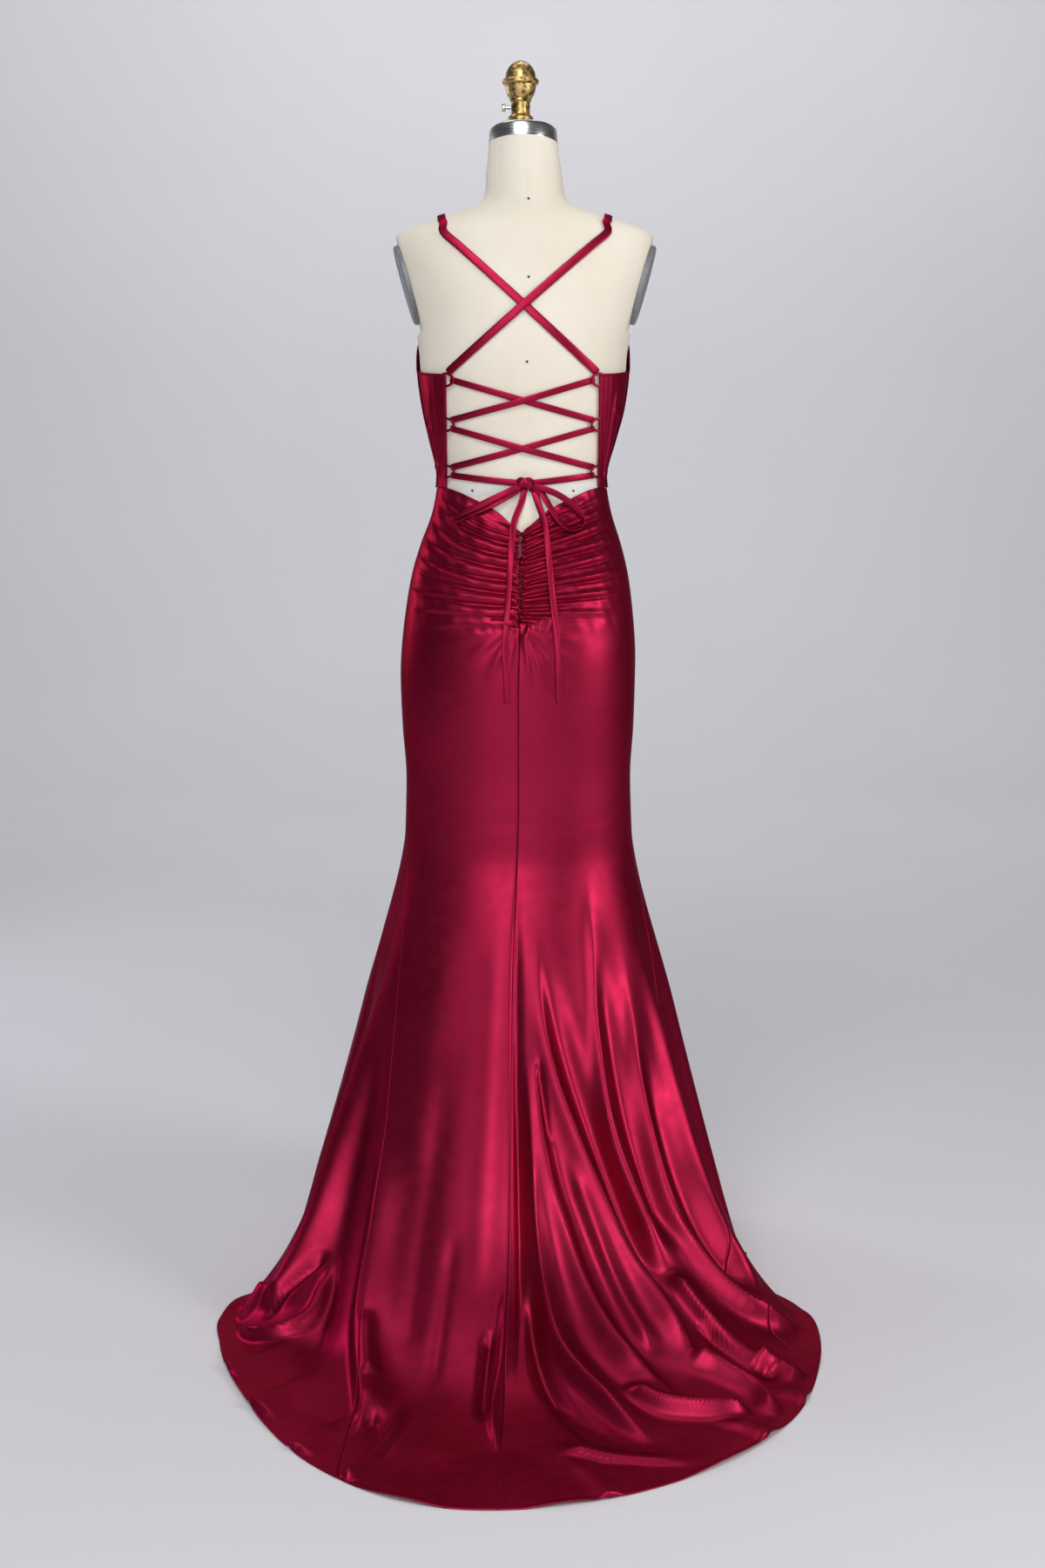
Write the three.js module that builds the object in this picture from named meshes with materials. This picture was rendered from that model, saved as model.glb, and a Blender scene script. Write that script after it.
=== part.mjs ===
// A satin mermaid prom gown, laced at the back, on a limbless dress form with a round base.
// Millimetres, +Z up. The origin is the middle of the base's underside, on the floor.
// The wearer's front faces -Y, the laced back and the train face +Y, and +X is the wearer's left.
// An angle, in degrees, goes round the figure from the middle of the back (0) through the
// wearer's left (90) to the front (180); the wearer's right has negative angles.
import * as THREE from "three";

// Driving dimensions of the cloth
const clothWall = 1.6; // thickness of a cloth panel
const ease = 1.3; // air between the form and the cloth
const seamGap = 0.8; // air between two panels at a seam
const bodiceRoom = 2.2; // more air over the bust
const ribbonWall = 1.2; // thickness of a strap or lace
const strapWidth = 10.5;
const laceWidth = 8.5;
const ribbonEase = 1.5; // air between the form and a strap or lace

// Driving heights of the garment
const waistSeam = 1086;
const kneeLine = 640; // the skirt hugs the figure down to here, and flares below
const lacingEdge = 100; // from the middle of the back to the inner edge of a back bodice panel
const placketShare = 0.28; // of the way from the lacing edge to the side seam
const loopHeights = [1229, 1171, 1109];
const loopWidth = 2.6;
const laceReach = 94; // from the middle of the back to a lace's end under its loop
const laceTurn = 5.2; // a lace leaves its loop this far above or below the loop's middle
const laceOver = 2.2; // a lace that crosses over another rises by this
const knotPlace = { x: -4, z: 1092 };
const knotSize = { half: 6, depth: 3.4, rise: 5.2, lift: 4.3 };
const laceMeet = { aside: 5, above: 1 }; // where the lowest laces end at the knot
const laceCrossing = { middle: 0.5, half: 0.2 }; // shares of a lace over which it rises

// Driving dimensions of the stand
const baseRadius = 172;
const baseHeight = 20;
const poleRadius = 14;
const formBottom = 800;
const neckTop = 1539;
const restGap = 0.3; // air between two pieces that rest on each other

const { smoothstep, lerp, clamp, degToRad } = THREE.MathUtils;

// The figure's level sections: half width, reach to the back and front, squareness, shift along X
const figureRows = [
  { z: 640, half: 154, back: 112, front: 101, square: 2.3, shift: 6 },
  { z: 700, half: 153, back: 113, front: 102, square: 2.3, shift: 6 },
  { z: 760, half: 157, back: 117, front: 103, square: 2.3, shift: 6 },
  { z: 830, half: 159, back: 120, front: 105, square: 2.3, shift: 6 },
  { z: 870, half: 158, back: 119, front: 105, square: 2.3, shift: 5 },
  { z: 920, half: 153, back: 112, front: 104, square: 2.3, shift: 4 },
  { z: 970, half: 145, back: 101, front: 102, square: 2.3, shift: 3 },
  { z: 1010, half: 134, back: 88, front: 98, square: 2.25, shift: 2 },
  { z: 1050, half: 120, back: 77, front: 92, square: 2.2, shift: 1 },
  { z: 1085, half: 113, back: 72, front: 86, square: 2.2, shift: 1 },
  { z: 1110, half: 112, back: 74, front: 85, square: 2.2, shift: 1 },
  { z: 1150, half: 122, back: 80, front: 88, square: 2.2, shift: 0 },
  { z: 1190, half: 132, back: 87, front: 93, square: 2.2, shift: -1 },
  { z: 1230, half: 138, back: 93, front: 97, square: 2.2, shift: -1 },
  { z: 1270, half: 141, back: 97, front: 97, square: 2.25, shift: -1 },
  { z: 1310, half: 149, back: 98, front: 90, square: 2.3, shift: -3 },
  { z: 1360, half: 164, back: 94, front: 77, square: 2.3, shift: -3 },
  { z: 1400, half: 173, back: 84, front: 68, square: 2.3, shift: -3 },
  { z: 1420, half: 173, back: 78, front: 62, square: 2.2, shift: -3 },
  { z: 1430, half: 160, back: 74, front: 61, square: 2.1, shift: -3 },
  { z: 1440, half: 130, back: 70, front: 60, square: 2, shift: -3 },
  { z: 1450, half: 97, back: 64, front: 59, square: 2, shift: -3 },
  { z: 1462, half: 64, back: 57, front: 57, square: 2, shift: -3 },
  { z: 1475, half: 54, back: 52, front: 54, square: 2, shift: -3 },
  { z: 1500, half: 51, back: 45, front: 51, square: 2, shift: -2 },
  { z: neckTop, half: 46, back: 40, front: 52, square: 2, shift: -1 },
];

// The bust of the form: two soft rounds on the front
const bust = { apart: 78, height: 1250, reach: 30, across: 42, up: 48 };
// The flat armholes: a plane through the side, which faces outwards and a little back
const armhole = { x: 156, z: 1358, lean: 0.28, turn: 5, bottom: 1296, ledge: 60 };
// The neck leans forward, so that its top slopes down to the front
const neckLean = { from: 1465, slope: 0.21, centre: -6 };

// The hem's outline on the floor: how far it reaches from the axis at each angle
const hemRows = [
  { angle: -180, reach: 310 },
  { angle: -120, reach: 303 },
  { angle: -90, reach: 306 },
  { angle: -70, reach: 335 },
  { angle: -61, reach: 420 },
  { angle: -54, reach: 474 },
  { angle: -41, reach: 560 },
  { angle: -29, reach: 650 },
  { angle: -17, reach: 723 },
  { angle: -6, reach: 772 },
  { angle: 4, reach: 790 },
  { angle: 11, reach: 773 },
  { angle: 19, reach: 722 },
  { angle: 27, reach: 657 },
  { angle: 35, reach: 596 },
  { angle: 49, reach: 514 },
  { angle: 57, reach: 478 },
  { angle: 63, reach: 435 },
  { angle: 71, reach: 360 },
  { angle: 90, reach: 335 },
  { angle: 120, reach: 318 },
  { angle: 180, reach: 310 },
];

// How the flare falls and spreads from the knee line (along 0) to the hem (along 1):
// shares of the knee's height and of the way out to the hem, at the back and at the sides and front
const flareRows = [
  { along: 0, backFall: 0, backSpread: 0, sideFall: 0, sideSpread: 0 },
  { along: 0.06, backFall: 0.1, backSpread: 0.006, sideFall: 0.062, sideSpread: 0.016 },
  { along: 0.14, backFall: 0.23, backSpread: 0.04, sideFall: 0.145, sideSpread: 0.08 },
  { along: 0.29, backFall: 0.455, backSpread: 0.125, sideFall: 0.31, sideSpread: 0.25 },
  { along: 0.45, backFall: 0.68, backSpread: 0.25, sideFall: 0.49, sideSpread: 0.43 },
  { along: 0.6, backFall: 0.85, backSpread: 0.4, sideFall: 0.66, sideSpread: 0.61 },
  { along: 0.76, backFall: 0.965, backSpread: 0.61, sideFall: 0.84, sideSpread: 0.8 },
  { along: 0.9, backFall: 1, backSpread: 0.84, sideFall: 0.98, sideSpread: 0.93 },
  { along: 1, backFall: 1, backSpread: 1, sideFall: 1, sideSpread: 1 },
];

// Where the seams of the skirt run: the middle of the back, and the side seams, which swing back unequally
const seamRows = [
  { along: 0, middle: 0, left: 88, right: 88 },
  { along: 0.1, middle: 0.8, left: 68, right: 84 },
  { along: 0.2, middle: 1.4, left: 55, right: 79 },
  { along: 0.36, middle: 1.7, left: 44, right: 70 },
  { along: 0.5, middle: 1.8, left: 36, right: 60 },
  { along: 0.65, middle: 1.9, left: 29, right: 50 },
  { along: 0.8, middle: 2, left: 21, right: 44 },
  { along: 1, middle: 2, left: 16, right: 44 },
];

// The skirt's top edge dips in a V at the middle of the back
const topEdgeRows = [
  { angle: 0, z: 1027 },
  { angle: 12, z: 1052 },
  { angle: 25, z: 1067 },
  { angle: 54, z: waistSeam - 1 },
  { angle: 88, z: waistSeam },
];

// The bodice's top edge, from the side seam to the V in front
const necklineRows = [
  { angle: 88, z: 1244 },
  { angle: 97, z: 1268 },
  { angle: 105, z: 1282 },
  { angle: 125, z: 1298 },
  { angle: 140, z: 1321 },
  { angle: 147, z: 1331 },
  { angle: 154, z: 1314 },
  { angle: 168, z: 1276 },
  { angle: 180, z: 1250 },
];
const backTop = { inner: 1237, side: 1244 }; // height of a back panel at its lacing edge and side

// The ruching on both sides of the seam at the middle of the back, as gathers that fan out
const ruching = {
  middleSpan: 127, // height of the gathered stretch at the seam
  sideSpan: 195, // and where its folds reach the side
  foldsLeft: 10,
  foldsRight: 14,
  heightLeft: 3.4,
  heightRight: 4.4,
};

// The largest folds of the flare: a ridge (or hollow, with a negative height) along a line
// from one angle and place along the flare to another
const foldRows = [
  { name: "left side ridge", from: [72, 0.25], to: [50, 0.82], width: 22, height: 20 },
  { name: "left hollow", from: [54, 0.36], to: [28, 0.86], width: 26, height: -24 },
  { name: "left seam ridge", from: [40, 0.44], to: [18, 0.86], width: 16, height: 18 },
  { name: "left train fold", from: [40, 0.72], to: [52, 0.94], width: 13, height: 13 },
  { name: "middle trough", from: [1, 0.1], to: [0.5, 0.74], width: 10, height: -9 },
  { name: "first sweep", from: [-2, 0.3], to: [-13, 0.9], width: 13, height: 15 },
  { name: "second sweep", from: [-5, 0.28], to: [-20, 0.86], width: 14, height: 16 },
  { name: "third sweep", from: [-7, 0.16], to: [-25, 0.8], width: 15, height: 20 },
  { name: "fourth sweep", from: [-30, 0.12], to: [-28, 0.62], width: 15, height: 14 },
  { name: "fifth sweep", from: [-42, 0.22], to: [-46, 0.86], width: 17, height: 23 },
  { name: "right side hollow", from: [-45, 0.35], to: [-51, 0.8], width: 17, height: -14 },
  { name: "right side ridge", from: [-60, 0.25], to: [-50, 0.78], width: 17, height: 15 },
  { name: "upper pooled fold", from: [-28, 0.66], to: [-33, 0.88], width: 13, height: 14 },
  { name: "middle pooled fold", from: [-26, 0.77], to: [-29, 0.96], width: 12, height: 13 },
  { name: "lower pooled fold", from: [-14, 0.79], to: [-26, 0.93], width: 12, height: 13 },
  { name: "left front fold", from: [101, 0.2], to: [102, 0.98], width: 25, height: 13 },
  { name: "left middle front fold", from: [131, 0.15], to: [137, 0.98], width: 25, height: 14 },
  { name: "middle front fold", from: [168, 0.12], to: [169, 0.98], width: 23, height: 12 },
  { name: "right middle front fold", from: [-162, 0.16], to: [-157, 0.98], width: 24, height: 13 },
  { name: "right front fold", from: [-124, 0.12], to: [-124, 0.98], width: 26, height: 14 },
  { name: "right side front fold", from: [-86, 0.18], to: [-81, 0.98], width: 23, height: 12 },
];
const foldReach = 2.4; // a fold fades to nothing this many widths from its line
const foldEnds = { past: 0.15, fade: 0.4 }; // and this share of its length past its ends, over that share

const satin = { color: 0x9c1238, roughness: 0.38, metalness: 0.35 };
const canvas = { color: 0xe9e0cc, roughness: 0.9, metalness: 0 };
const gilding = { color: 0xb08a45, roughness: 0.4, metalness: 0.85 };
const steel = { color: 0xb9bbbd, roughness: 0.3, metalness: 1 };
const greyPaint = { color: 0x6f7478, roughness: 0.5, metalness: 0.2 };
const darkSteel = { color: 0x33262b, roughness: 0.4, metalness: 0.8 };
const blackPaint = { color: 0x26272a, roughness: 0.5, metalness: 0.3 };

const dress = new THREE.Group();
const stand = new THREE.Group();

function add(group, name, geometry, finish) {
  const mesh = new THREE.Mesh(geometry, new THREE.MeshStandardMaterial(finish));
  mesh.name = name;
  group.add(mesh);
  return mesh;
}

// Smooth value of a column at a place in a table whose rows rise in the key column
function read(table, key, place, column) {
  const next = table.findIndex((row) => row[key] > place);
  if (next === 0) return table[0][column];
  if (next < 0) return table.at(-1)[column];
  const [low, high] = [table[next - 1], table[next]];
  const [before, after] = [table[next - 2] ?? low, table[next + 1] ?? high];
  const slope = (a, b) => (b[column] - a[column]) / (b[key] - a[key]);
  const span = high[key] - low[key];
  const t = (place - low[key]) / span;
  const leave = slope(before, high) * span;
  const arrive = slope(low, after) * span;
  const rise = t * t * (3 - 2 * t);
  const bend = t * (1 - t);
  return lerp(low[column], high[column], rise) + bend * (leave * (1 - t) - arrive * t);
}

const signedPower = (value, exponent) => Math.sign(value) * Math.abs(value) ** exponent;

// How far the bust stands out in front
function bustReach(x, z) {
  const across = (Math.abs(x) - bust.apart) / bust.across;
  const up = (z - bust.height) / bust.up;
  return bust.reach * Math.exp(-across * across - up * up);
}

// How far out the side may reach before the armhole's plane cuts it
function armholeLimit(y, z) {
  const height = Math.max(z, armhole.bottom) - armhole.z;
  const plane = armhole.x + armhole.lean * height - y * Math.tan(degToRad(armhole.turn));
  return plane + armhole.ledge * (1 - smoothstep(z, armhole.bottom - 20, armhole.bottom));
}

// The form's surface at a height and an angle
function figurePoint(z, angle) {
  const [s, c] = [Math.sin(degToRad(angle)), Math.cos(degToRad(angle))];
  const column = (name) => read(figureRows, "z", z, name);
  const round = 2 / column("square");
  const side = Math.sign(s);
  let x = column("half") * signedPower(s, round);
  let y = column(c > 0 ? "back" : "front") * signedPower(c, round);
  x = side * Math.min(Math.abs(x), armholeLimit(y, z)) + column("shift");
  y -= bustReach(x, z) * smoothstep(-c, 0, 0.5);
  const lean = neckLean.slope * smoothstep(z, neckLean.from, neckTop) * (y - neckLean.centre);
  return new THREE.Vector3(x, y, z + lean);
}

// A point at a distance out from the form's surface
function offFigure(z, angle, lift) {
  const step = 2;
  const across = figurePoint(z, angle + step).sub(figurePoint(z, angle - step));
  const down = figurePoint(z - step, angle).sub(figurePoint(z + step, angle));
  return figurePoint(z, angle).addScaledVector(across.cross(down).normalize(), lift);
}

// The angle at which the figure has a given x at a height, on the back or the front
function angleAt(x, z, front = false) {
  const reach = read(figureRows, "z", z, "half");
  const share = clamp((x - read(figureRows, "z", z, "shift")) / reach, -1, 1);
  const sine = signedPower(share, read(figureRows, "z", z, "square") / 2);
  const angle = THREE.MathUtils.radToDeg(Math.asin(sine));
  return front ? 180 * Math.sign(x) - angle : angle;
}

// Height of a fold at a point of the flare: a round ridge along its line, fading at both ends
function foldHeight(fold, angle, along, point) {
  const [startAngle, startAlong] = fold.from;
  const [endAngle, endAlong] = fold.to;
  const t = (along - startAlong) / (endAlong - startAlong);
  if (t < -foldEnds.past || t > 1 + foldEnds.past) return 0;
  const radius = Math.hypot(point.x, point.y);
  let turn = angle - lerp(startAngle, endAngle, t);
  turn -= 360 * Math.round(turn / 360);
  const away = (degToRad(turn) * radius) / fold.width;
  if (Math.abs(away) > foldReach) return 0;
  const fade = (left) => smoothstep(left + foldEnds.past, 0, foldEnds.fade);
  const ends = fade(t) * fade(1 - t);
  return fold.height * ends * Math.exp(-away * away);
}

// The middle of the skirt's wall. A level from 1 to 0 goes from the waist seam to the knee line,
// and from 0 to -1 along the flare to the hem.
function skirtPoint(angle, level, lift = 0) {
  const clear = ease + clothWall / 2 + lift;
  if (level >= 0) return offFigure(lerp(kneeLine, waistSeam, level), angle, clear);
  const along = -level;
  const knee = offFigure(kneeLine, angle, clear);
  const reach = read(hemRows, "angle", angle, "reach");
  const hem = { x: reach * Math.sin(degToRad(angle)), y: reach * Math.cos(degToRad(angle)) };
  const back = Math.max(0, Math.cos(degToRad(angle)));
  const mix = (name) =>
    lerp(read(flareRows, "along", along, `side${name}`), read(flareRows, "along", along, `back${name}`), back);
  const spread = mix("Spread");
  const z = Math.max(kneeLine * (1 - mix("Fall")), clothWall / 2);
  return new THREE.Vector3(lerp(knee.x, hem.x, spread), lerp(knee.y, hem.y, spread), z);
}

// The outward normals of a grid of points. Columns run round by rising angle, rows run down.
function gridNormals(rows, ring = false) {
  const [height, width] = [rows.length, rows[0].length];
  const column = (j) => (ring ? (j + width) % width : clamp(j, 0, width - 1));
  const at = (i, j) => rows[clamp(i, 0, height - 1)][column(j)];
  return rows.map((row, i) =>
    row.map((_, j) => {
      const across = at(i, j + 1).clone().sub(at(i, j - 1));
      const down = at(i + 1, j).clone().sub(at(i - 1, j));
      return across.cross(down).normalize();
    }),
  );
}

// Moves each point of a grid along its normal by its own height
function raise(rows, normals, heightAt) {
  return rows.map((row, i) =>
    row.map((point, j) => point.clone().addScaledVector(normals[i][j], heightAt(i, j, point))),
  );
}

// A closed wall round a grid of points in its middle. Its inner face never goes below the floor.
function wallSolid(rows, wall, normals = gridNormals(rows)) {
  const columns = rows[0].length;
  const positions = [];
  for (const side of [1, -1]) {
    rows.forEach((row, i) =>
      row.forEach((point, j) => {
        const moved = point.clone().addScaledVector(normals[i][j], (side * wall) / 2);
        moved.z = Math.max(moved.z, side > 0 ? wall : 0);
        positions.push(moved.x, moved.y, moved.z);
      }),
    );
  }
  const outer = (i, j) => i * columns + j;
  const inner = (i, j) => rows.length * columns + outer(i, j);
  const indices = [];
  const quad = (a, b, c, d) => indices.push(a, b, c, a, c, d);
  const lastRow = rows.length - 1;
  const lastColumn = columns - 1;
  for (let i = 0; i < lastRow; i += 1) {
    for (let j = 0; j < lastColumn; j += 1) {
      quad(outer(i, j), outer(i, j + 1), outer(i + 1, j + 1), outer(i + 1, j));
      quad(inner(i, j), inner(i + 1, j), inner(i + 1, j + 1), inner(i, j + 1));
    }
    quad(outer(i, 0), outer(i + 1, 0), inner(i + 1, 0), inner(i, 0));
    quad(outer(i, lastColumn), inner(i, lastColumn), inner(i + 1, lastColumn), outer(i + 1, lastColumn));
  }
  for (let j = 0; j < lastColumn; j += 1) {
    quad(outer(0, j), inner(0, j), inner(0, j + 1), outer(0, j + 1));
    quad(outer(lastRow, j), outer(lastRow, j + 1), inner(lastRow, j + 1), inner(lastRow, j));
  }
  return meshOf(positions, indices);
}

function meshOf(positions, indices) {
  const geometry = new THREE.BufferGeometry();
  geometry.setAttribute("position", new THREE.Float32BufferAttribute(positions, 3));
  geometry.setIndex(indices);
  geometry.computeVertexNormals();
  return geometry;
}

const range = (count) => Array.from({ length: count + 1 }, (_, i) => i / count);
const level = (z) => (z - kneeLine) / (waistSeam - kneeLine);

// The columns of the skirt's panels, as shares of the way across each one
const leftColumns = range(14).map((share) => share ** 1.15);
const rightColumns = range(18).map((share) => share ** 1.15);
const frontPacking = 0.095; // how much closer the front's columns lie near the side seams
const frontColumns = range(33).map((share) => share - frontPacking * Math.sin(2 * Math.PI * share));
const hugSide = 88; // angle of the side seams above the knee line

// The angles of one level ring of the skirt, from the middle seam round by the wearer's left
function ringAngles({ middle, left, right }) {
  const leftBack = leftColumns.map((share) => lerp(middle, left, share));
  const front = frontColumns.slice(1).map((share) => lerp(left, 360 - right, share));
  const rightBack = rightColumns.map((share) => lerp(360 + middle, 360 - right, share)).reverse();
  return [...leftBack, ...front, ...rightBack.slice(1, -1)];
}

// The whole flare as one ring of points with its folds, and the normals of its wall
function flareGrid() {
  const alongs = range(16);
  const seam = (along, name) => read(seamRows, "along", along, name);
  const angles = alongs.map((along) =>
    ringAngles({ middle: seam(along, "middle"), left: seam(along, "left"), right: seam(along, "right") }),
  );
  const half = (angle) => (angle > 180 ? angle - 360 : angle);
  const smooth = angles.map((row, i) => row.map((angle) => skirtPoint(half(angle), -alongs[i])));
  const folded = raise(smooth, gridNormals(smooth, true), (i, j, point) =>
    foldRows.reduce((sum, fold) => sum + foldHeight(fold, angles[i][j], alongs[i], point), 0),
  );
  return { rows: folded, normals: gridNormals(folded, true) };
}
const flare = flareGrid();

// One panel of the skirt: its own rows above the knee line, then its columns of the flare
function skirtPanel(hugRows, liftAt, firstColumn) {
  const columns = hugRows[0].length;
  const width = flare.rows[0].length;
  const slice = (row) => range(columns - 1).map((_, j) => row[(firstColumn + j + width) % width]);
  const smooth = [...hugRows, ...flare.rows.map(slice)];
  const lifted = raise(hugRows, gridNormals(smooth), liftAt);
  const rows = [...lifted, ...flare.rows.map(slice)].map((row) => row.map((point) => point.clone()));
  const normals = gridNormals(rows);
  flare.normals.forEach((row, i) => (normals[hugRows.length + i] = slice(row)));
  for (const row of rows) {
    const inset = (edge, next) => {
      const towards = next.clone().sub(edge);
      edge.addScaledVector(towards.normalize(), seamGap / 2);
    };
    inset(row[0], row[1]);
    inset(row.at(-1), row.at(-2));
  }
  return wallSolid(rows, clothWall, normals);
}

// Height of the gathers: every other row stands out, most just beside the middle seam
const gatherFade = { least: 0.15, power: 1.5, pinch: 0.3, pinchEnd: 0.05 };
function gatherHeight(row, share, height) {
  const fade = lerp(gatherFade.least, 1, (1 - share) ** gatherFade.power);
  const pinch = lerp(gatherFade.pinch, 1, smoothstep(share, 0, gatherFade.pinchEnd));
  return row % 2 ? height * fade * pinch : 0;
}

// A back panel of the skirt, on one side (1 left, -1 right), with the gathers beside its middle seam
function skirtBack(side) {
  const folds = side > 0 ? ruching.foldsLeft : ruching.foldsRight;
  const height = side > 0 ? ruching.heightLeft : ruching.heightRight;
  const gatherRows = 2 * folds;
  const smoothRows = 6;
  const columns = side > 0 ? leftColumns : [...rightColumns].reverse();
  const heightOf = (share, down) => {
    const span = lerp(ruching.middleSpan, ruching.sideSpan, share);
    return read(topEdgeRows, "angle", share * hugSide, "z") - span * down;
  };
  const gathered = range(gatherRows).map((down) =>
    columns.map((share) => skirtPoint(side * share * hugSide, level(heightOf(share, down)))),
  );
  const smooth = range(smoothRows).slice(1, -1).map((down) =>
    columns.map((share) => skirtPoint(side * share * hugSide, level(heightOf(share, 1)) * (1 - down))),
  );
  const liftAt = (row, j) => (row <= gatherRows ? gatherHeight(row, columns[j], height) : 0);
  const firstColumn = side > 0 ? 0 : 1 - columns.length;
  return skirtPanel([...gathered, ...smooth], liftAt, firstColumn);
}

// The front panel of the skirt, from the left side seam round the front to the right one
function skirtFront() {
  const hugging = range(8).slice(0, -1).map((down) =>
    frontColumns.map((share) => {
      const angle = lerp(hugSide, 360 - hugSide, share);
      return skirtPoint(angle > 180 ? angle - 360 : angle, 1 - down);
    }),
  );
  return skirtPanel(hugging, () => 0, leftColumns.length - 1);
}

// The front of the bodice, with its V neckline, over the bust
function bodiceFront() {
  const gapTurn = THREE.MathUtils.radToDeg(seamGap / 2 / 140);
  const sideAngle = 88 + gapTurn;
  const bottom = waistSeam + seamGap + clothWall / 2;
  const rows = range(10).map((down) =>
    range(34).map((share) => {
      const angle = lerp(sideAngle, 360 - sideAngle, share);
      const top = read(necklineRows, "angle", angle > 180 ? 360 - angle : angle, "z");
      return offFigure(lerp(top, bottom, down), angle, ease + clothWall / 2 + bodiceRoom);
    }),
  );
  return wallSolid(rows, clothWall);
}

// The grid of a back bodice panel between two places across it, from 0 at the lacing edge
// to 1 at the side seam, at a distance out from the form
function bodiceBackGrid(side, from, to, columns, lift) {
  const gapTurn = THREE.MathUtils.radToDeg(seamGap / 2 / 140);
  const bottom = waistSeam + seamGap + clothWall / 2;
  return range(9).map((down) =>
    range(columns).map((share) => {
      const across = side > 0 ? lerp(from, to, share) : lerp(to, from, share);
      const z = lerp(lerp(backTop.inner, backTop.side, across ** 1.6), bottom, down);
      const inner = Math.abs(angleAt(side * lacingEdge, z));
      return offFigure(z, side * lerp(inner, 88 - gapTurn, across), lift);
    }),
  );
}

// A place of a route, {x, z, lift} or {angle, z, lift}, as a point off the form
function routePoint({ x, z, lift, angle, front = false }, more = 0) {
  return offFigure(z, angle ?? angleAt(x, z, front), lift + ribbonWall / 2 + more);
}

// A flat ribbon that follows a route over the form, facing outwards
function ribbonOnFigure(route, width) {
  const middle = route.map((place) => routePoint(place));
  const last = middle.length - 1;
  const rows = middle.map((point, i) => {
    const outward = routePoint(route[i], 1).sub(point);
    const along = middle[Math.min(i + 1, last)].clone().sub(middle[Math.max(i - 1, 0)]);
    const across = along.cross(outward).normalize().multiplyScalar(width / 2);
    return [point.clone().sub(across), point.clone().add(across)];
  });
  return wallSolid(rows, ribbonWall);
}

// A ribbon that turns back over itself, so that it stays square to one direction all the way
function foldedRibbon(route, width) {
  const middle = route.map((place) => routePoint(place));
  const turn = Math.floor(route.length / 2);
  const outward = routePoint(route[0], 1).sub(middle[0]);
  const along = middle[turn].clone().sub(middle[0]);
  const across = along.cross(outward).normalize().multiplyScalar(width / 2);
  return wallSolid(
    middle.map((point) => [point.clone().sub(across), point.clone().add(across)]),
    ribbonWall,
  );
}

// The straps' places on the left: the front neckline's peak, the shoulder, the ridge of the shoulder
// by angle, and the far end at the other side's lacing edge
const strapPlaces = {
  apex: { x: 90, z: 1333 },
  shoulder: { x: 106, shift: -4, z: 1418 },
  ridgeAngles: [139, 131, 121, 111, 101, 90, 79, 69, 59, 49, 41],
  ridge: { z: 1447.6, drop: 0.0019, power: 2.3, lift: 1.2 },
  end: { x: 99, above: 7.5 },
  crossing: { middle: 0.56, half: 0.12, rise: 2 },
};

// A shoulder strap: from the front neckline over one shoulder to the other side's lacing edge
function strap(side, over) {
  const { ridgeAngles, ridge: top, crossing } = strapPlaces;
  const apex = { x: side * strapPlaces.apex.x, z: strapPlaces.apex.z };
  const shoulder = {
    x: side * strapPlaces.shoulder.x + strapPlaces.shoulder.shift,
    z: strapPlaces.shoulder.z,
  };
  const end = { x: -side * strapPlaces.end.x, z: backTop.inner + strapPlaces.end.above };
  const front = range(5).map((t) => ({
    x: lerp(apex.x, shoulder.x, t),
    z: lerp(apex.z, shoulder.z, t),
    lift: ribbonEase,
    front: true,
  }));
  const ridge = ridgeAngles.map((angle) => ({
    angle: side * angle,
    z: top.z - top.drop * Math.abs(angle - 90) ** top.power,
    lift: ribbonEase + top.lift,
  }));
  const back = range(12).map((t) => ({
    x: lerp(shoulder.x, end.x, t),
    z: lerp(shoulder.z, end.z, t),
    lift: ribbonEase + over * crossing.rise * Math.exp(-(((t - crossing.middle) / crossing.half) ** 2)),
  }));
  return ribbonOnFigure([...front, ...ridge, ...back], strapWidth);
}

// The casing strip along a back bodice panel's lacing edge
function placket(side) {
  const lift = ease + clothWall + restGap + clothWall / 2;
  return wallSolid(bodiceBackGrid(side, 0, placketShare, 2, lift), clothWall);
}

// A lace between the lacing edges: it starts under a loop on one side and runs to the other
function lace(start, end, over) {
  return ribbonOnFigure(
    range(10).map((t) => ({
      x: lerp(start.x, end.x, t),
      z: lerp(start.z, end.z, t),
      lift: ribbonEase + over * Math.exp(-(((t - laceCrossing.middle) / laceCrossing.half) ** 2)),
    })),
    laceWidth,
  );
}

// A small cloth loop at a lacing edge, which holds the laces that turn there
const loopPlaces = [
  { out: 0.3, up: 8, lift: 1.6 },
  { out: 4, up: 7.5, lift: 3 },
  { out: 8.5, up: 5, lift: 3.4 },
  { out: 10.5, up: 0, lift: 3.4 },
  { out: 8.5, up: -5, lift: 3.4 },
  { out: 4, up: -7.5, lift: 3 },
  { out: 0.3, up: -8, lift: 1.6 },
];
function laceLoop(side, height) {
  const route = loopPlaces.map(({ out, up, lift }) => ({
    x: side * (lacingEdge - out),
    z: height + up,
    lift,
  }));
  return ribbonOnFigure(route, loopWidth);
}

// The knot of the lacing, with its two loops and two hanging ends
function knot() {
  const geometry = new THREE.SphereGeometry(1, 12, 8);
  geometry.scale(knotSize.half, knotSize.depth, knotSize.rise);
  const centre = routePoint({ ...knotPlace, lift: knotSize.lift });
  geometry.translate(centre.x, centre.y, centre.z);
  return geometry;
}

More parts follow.
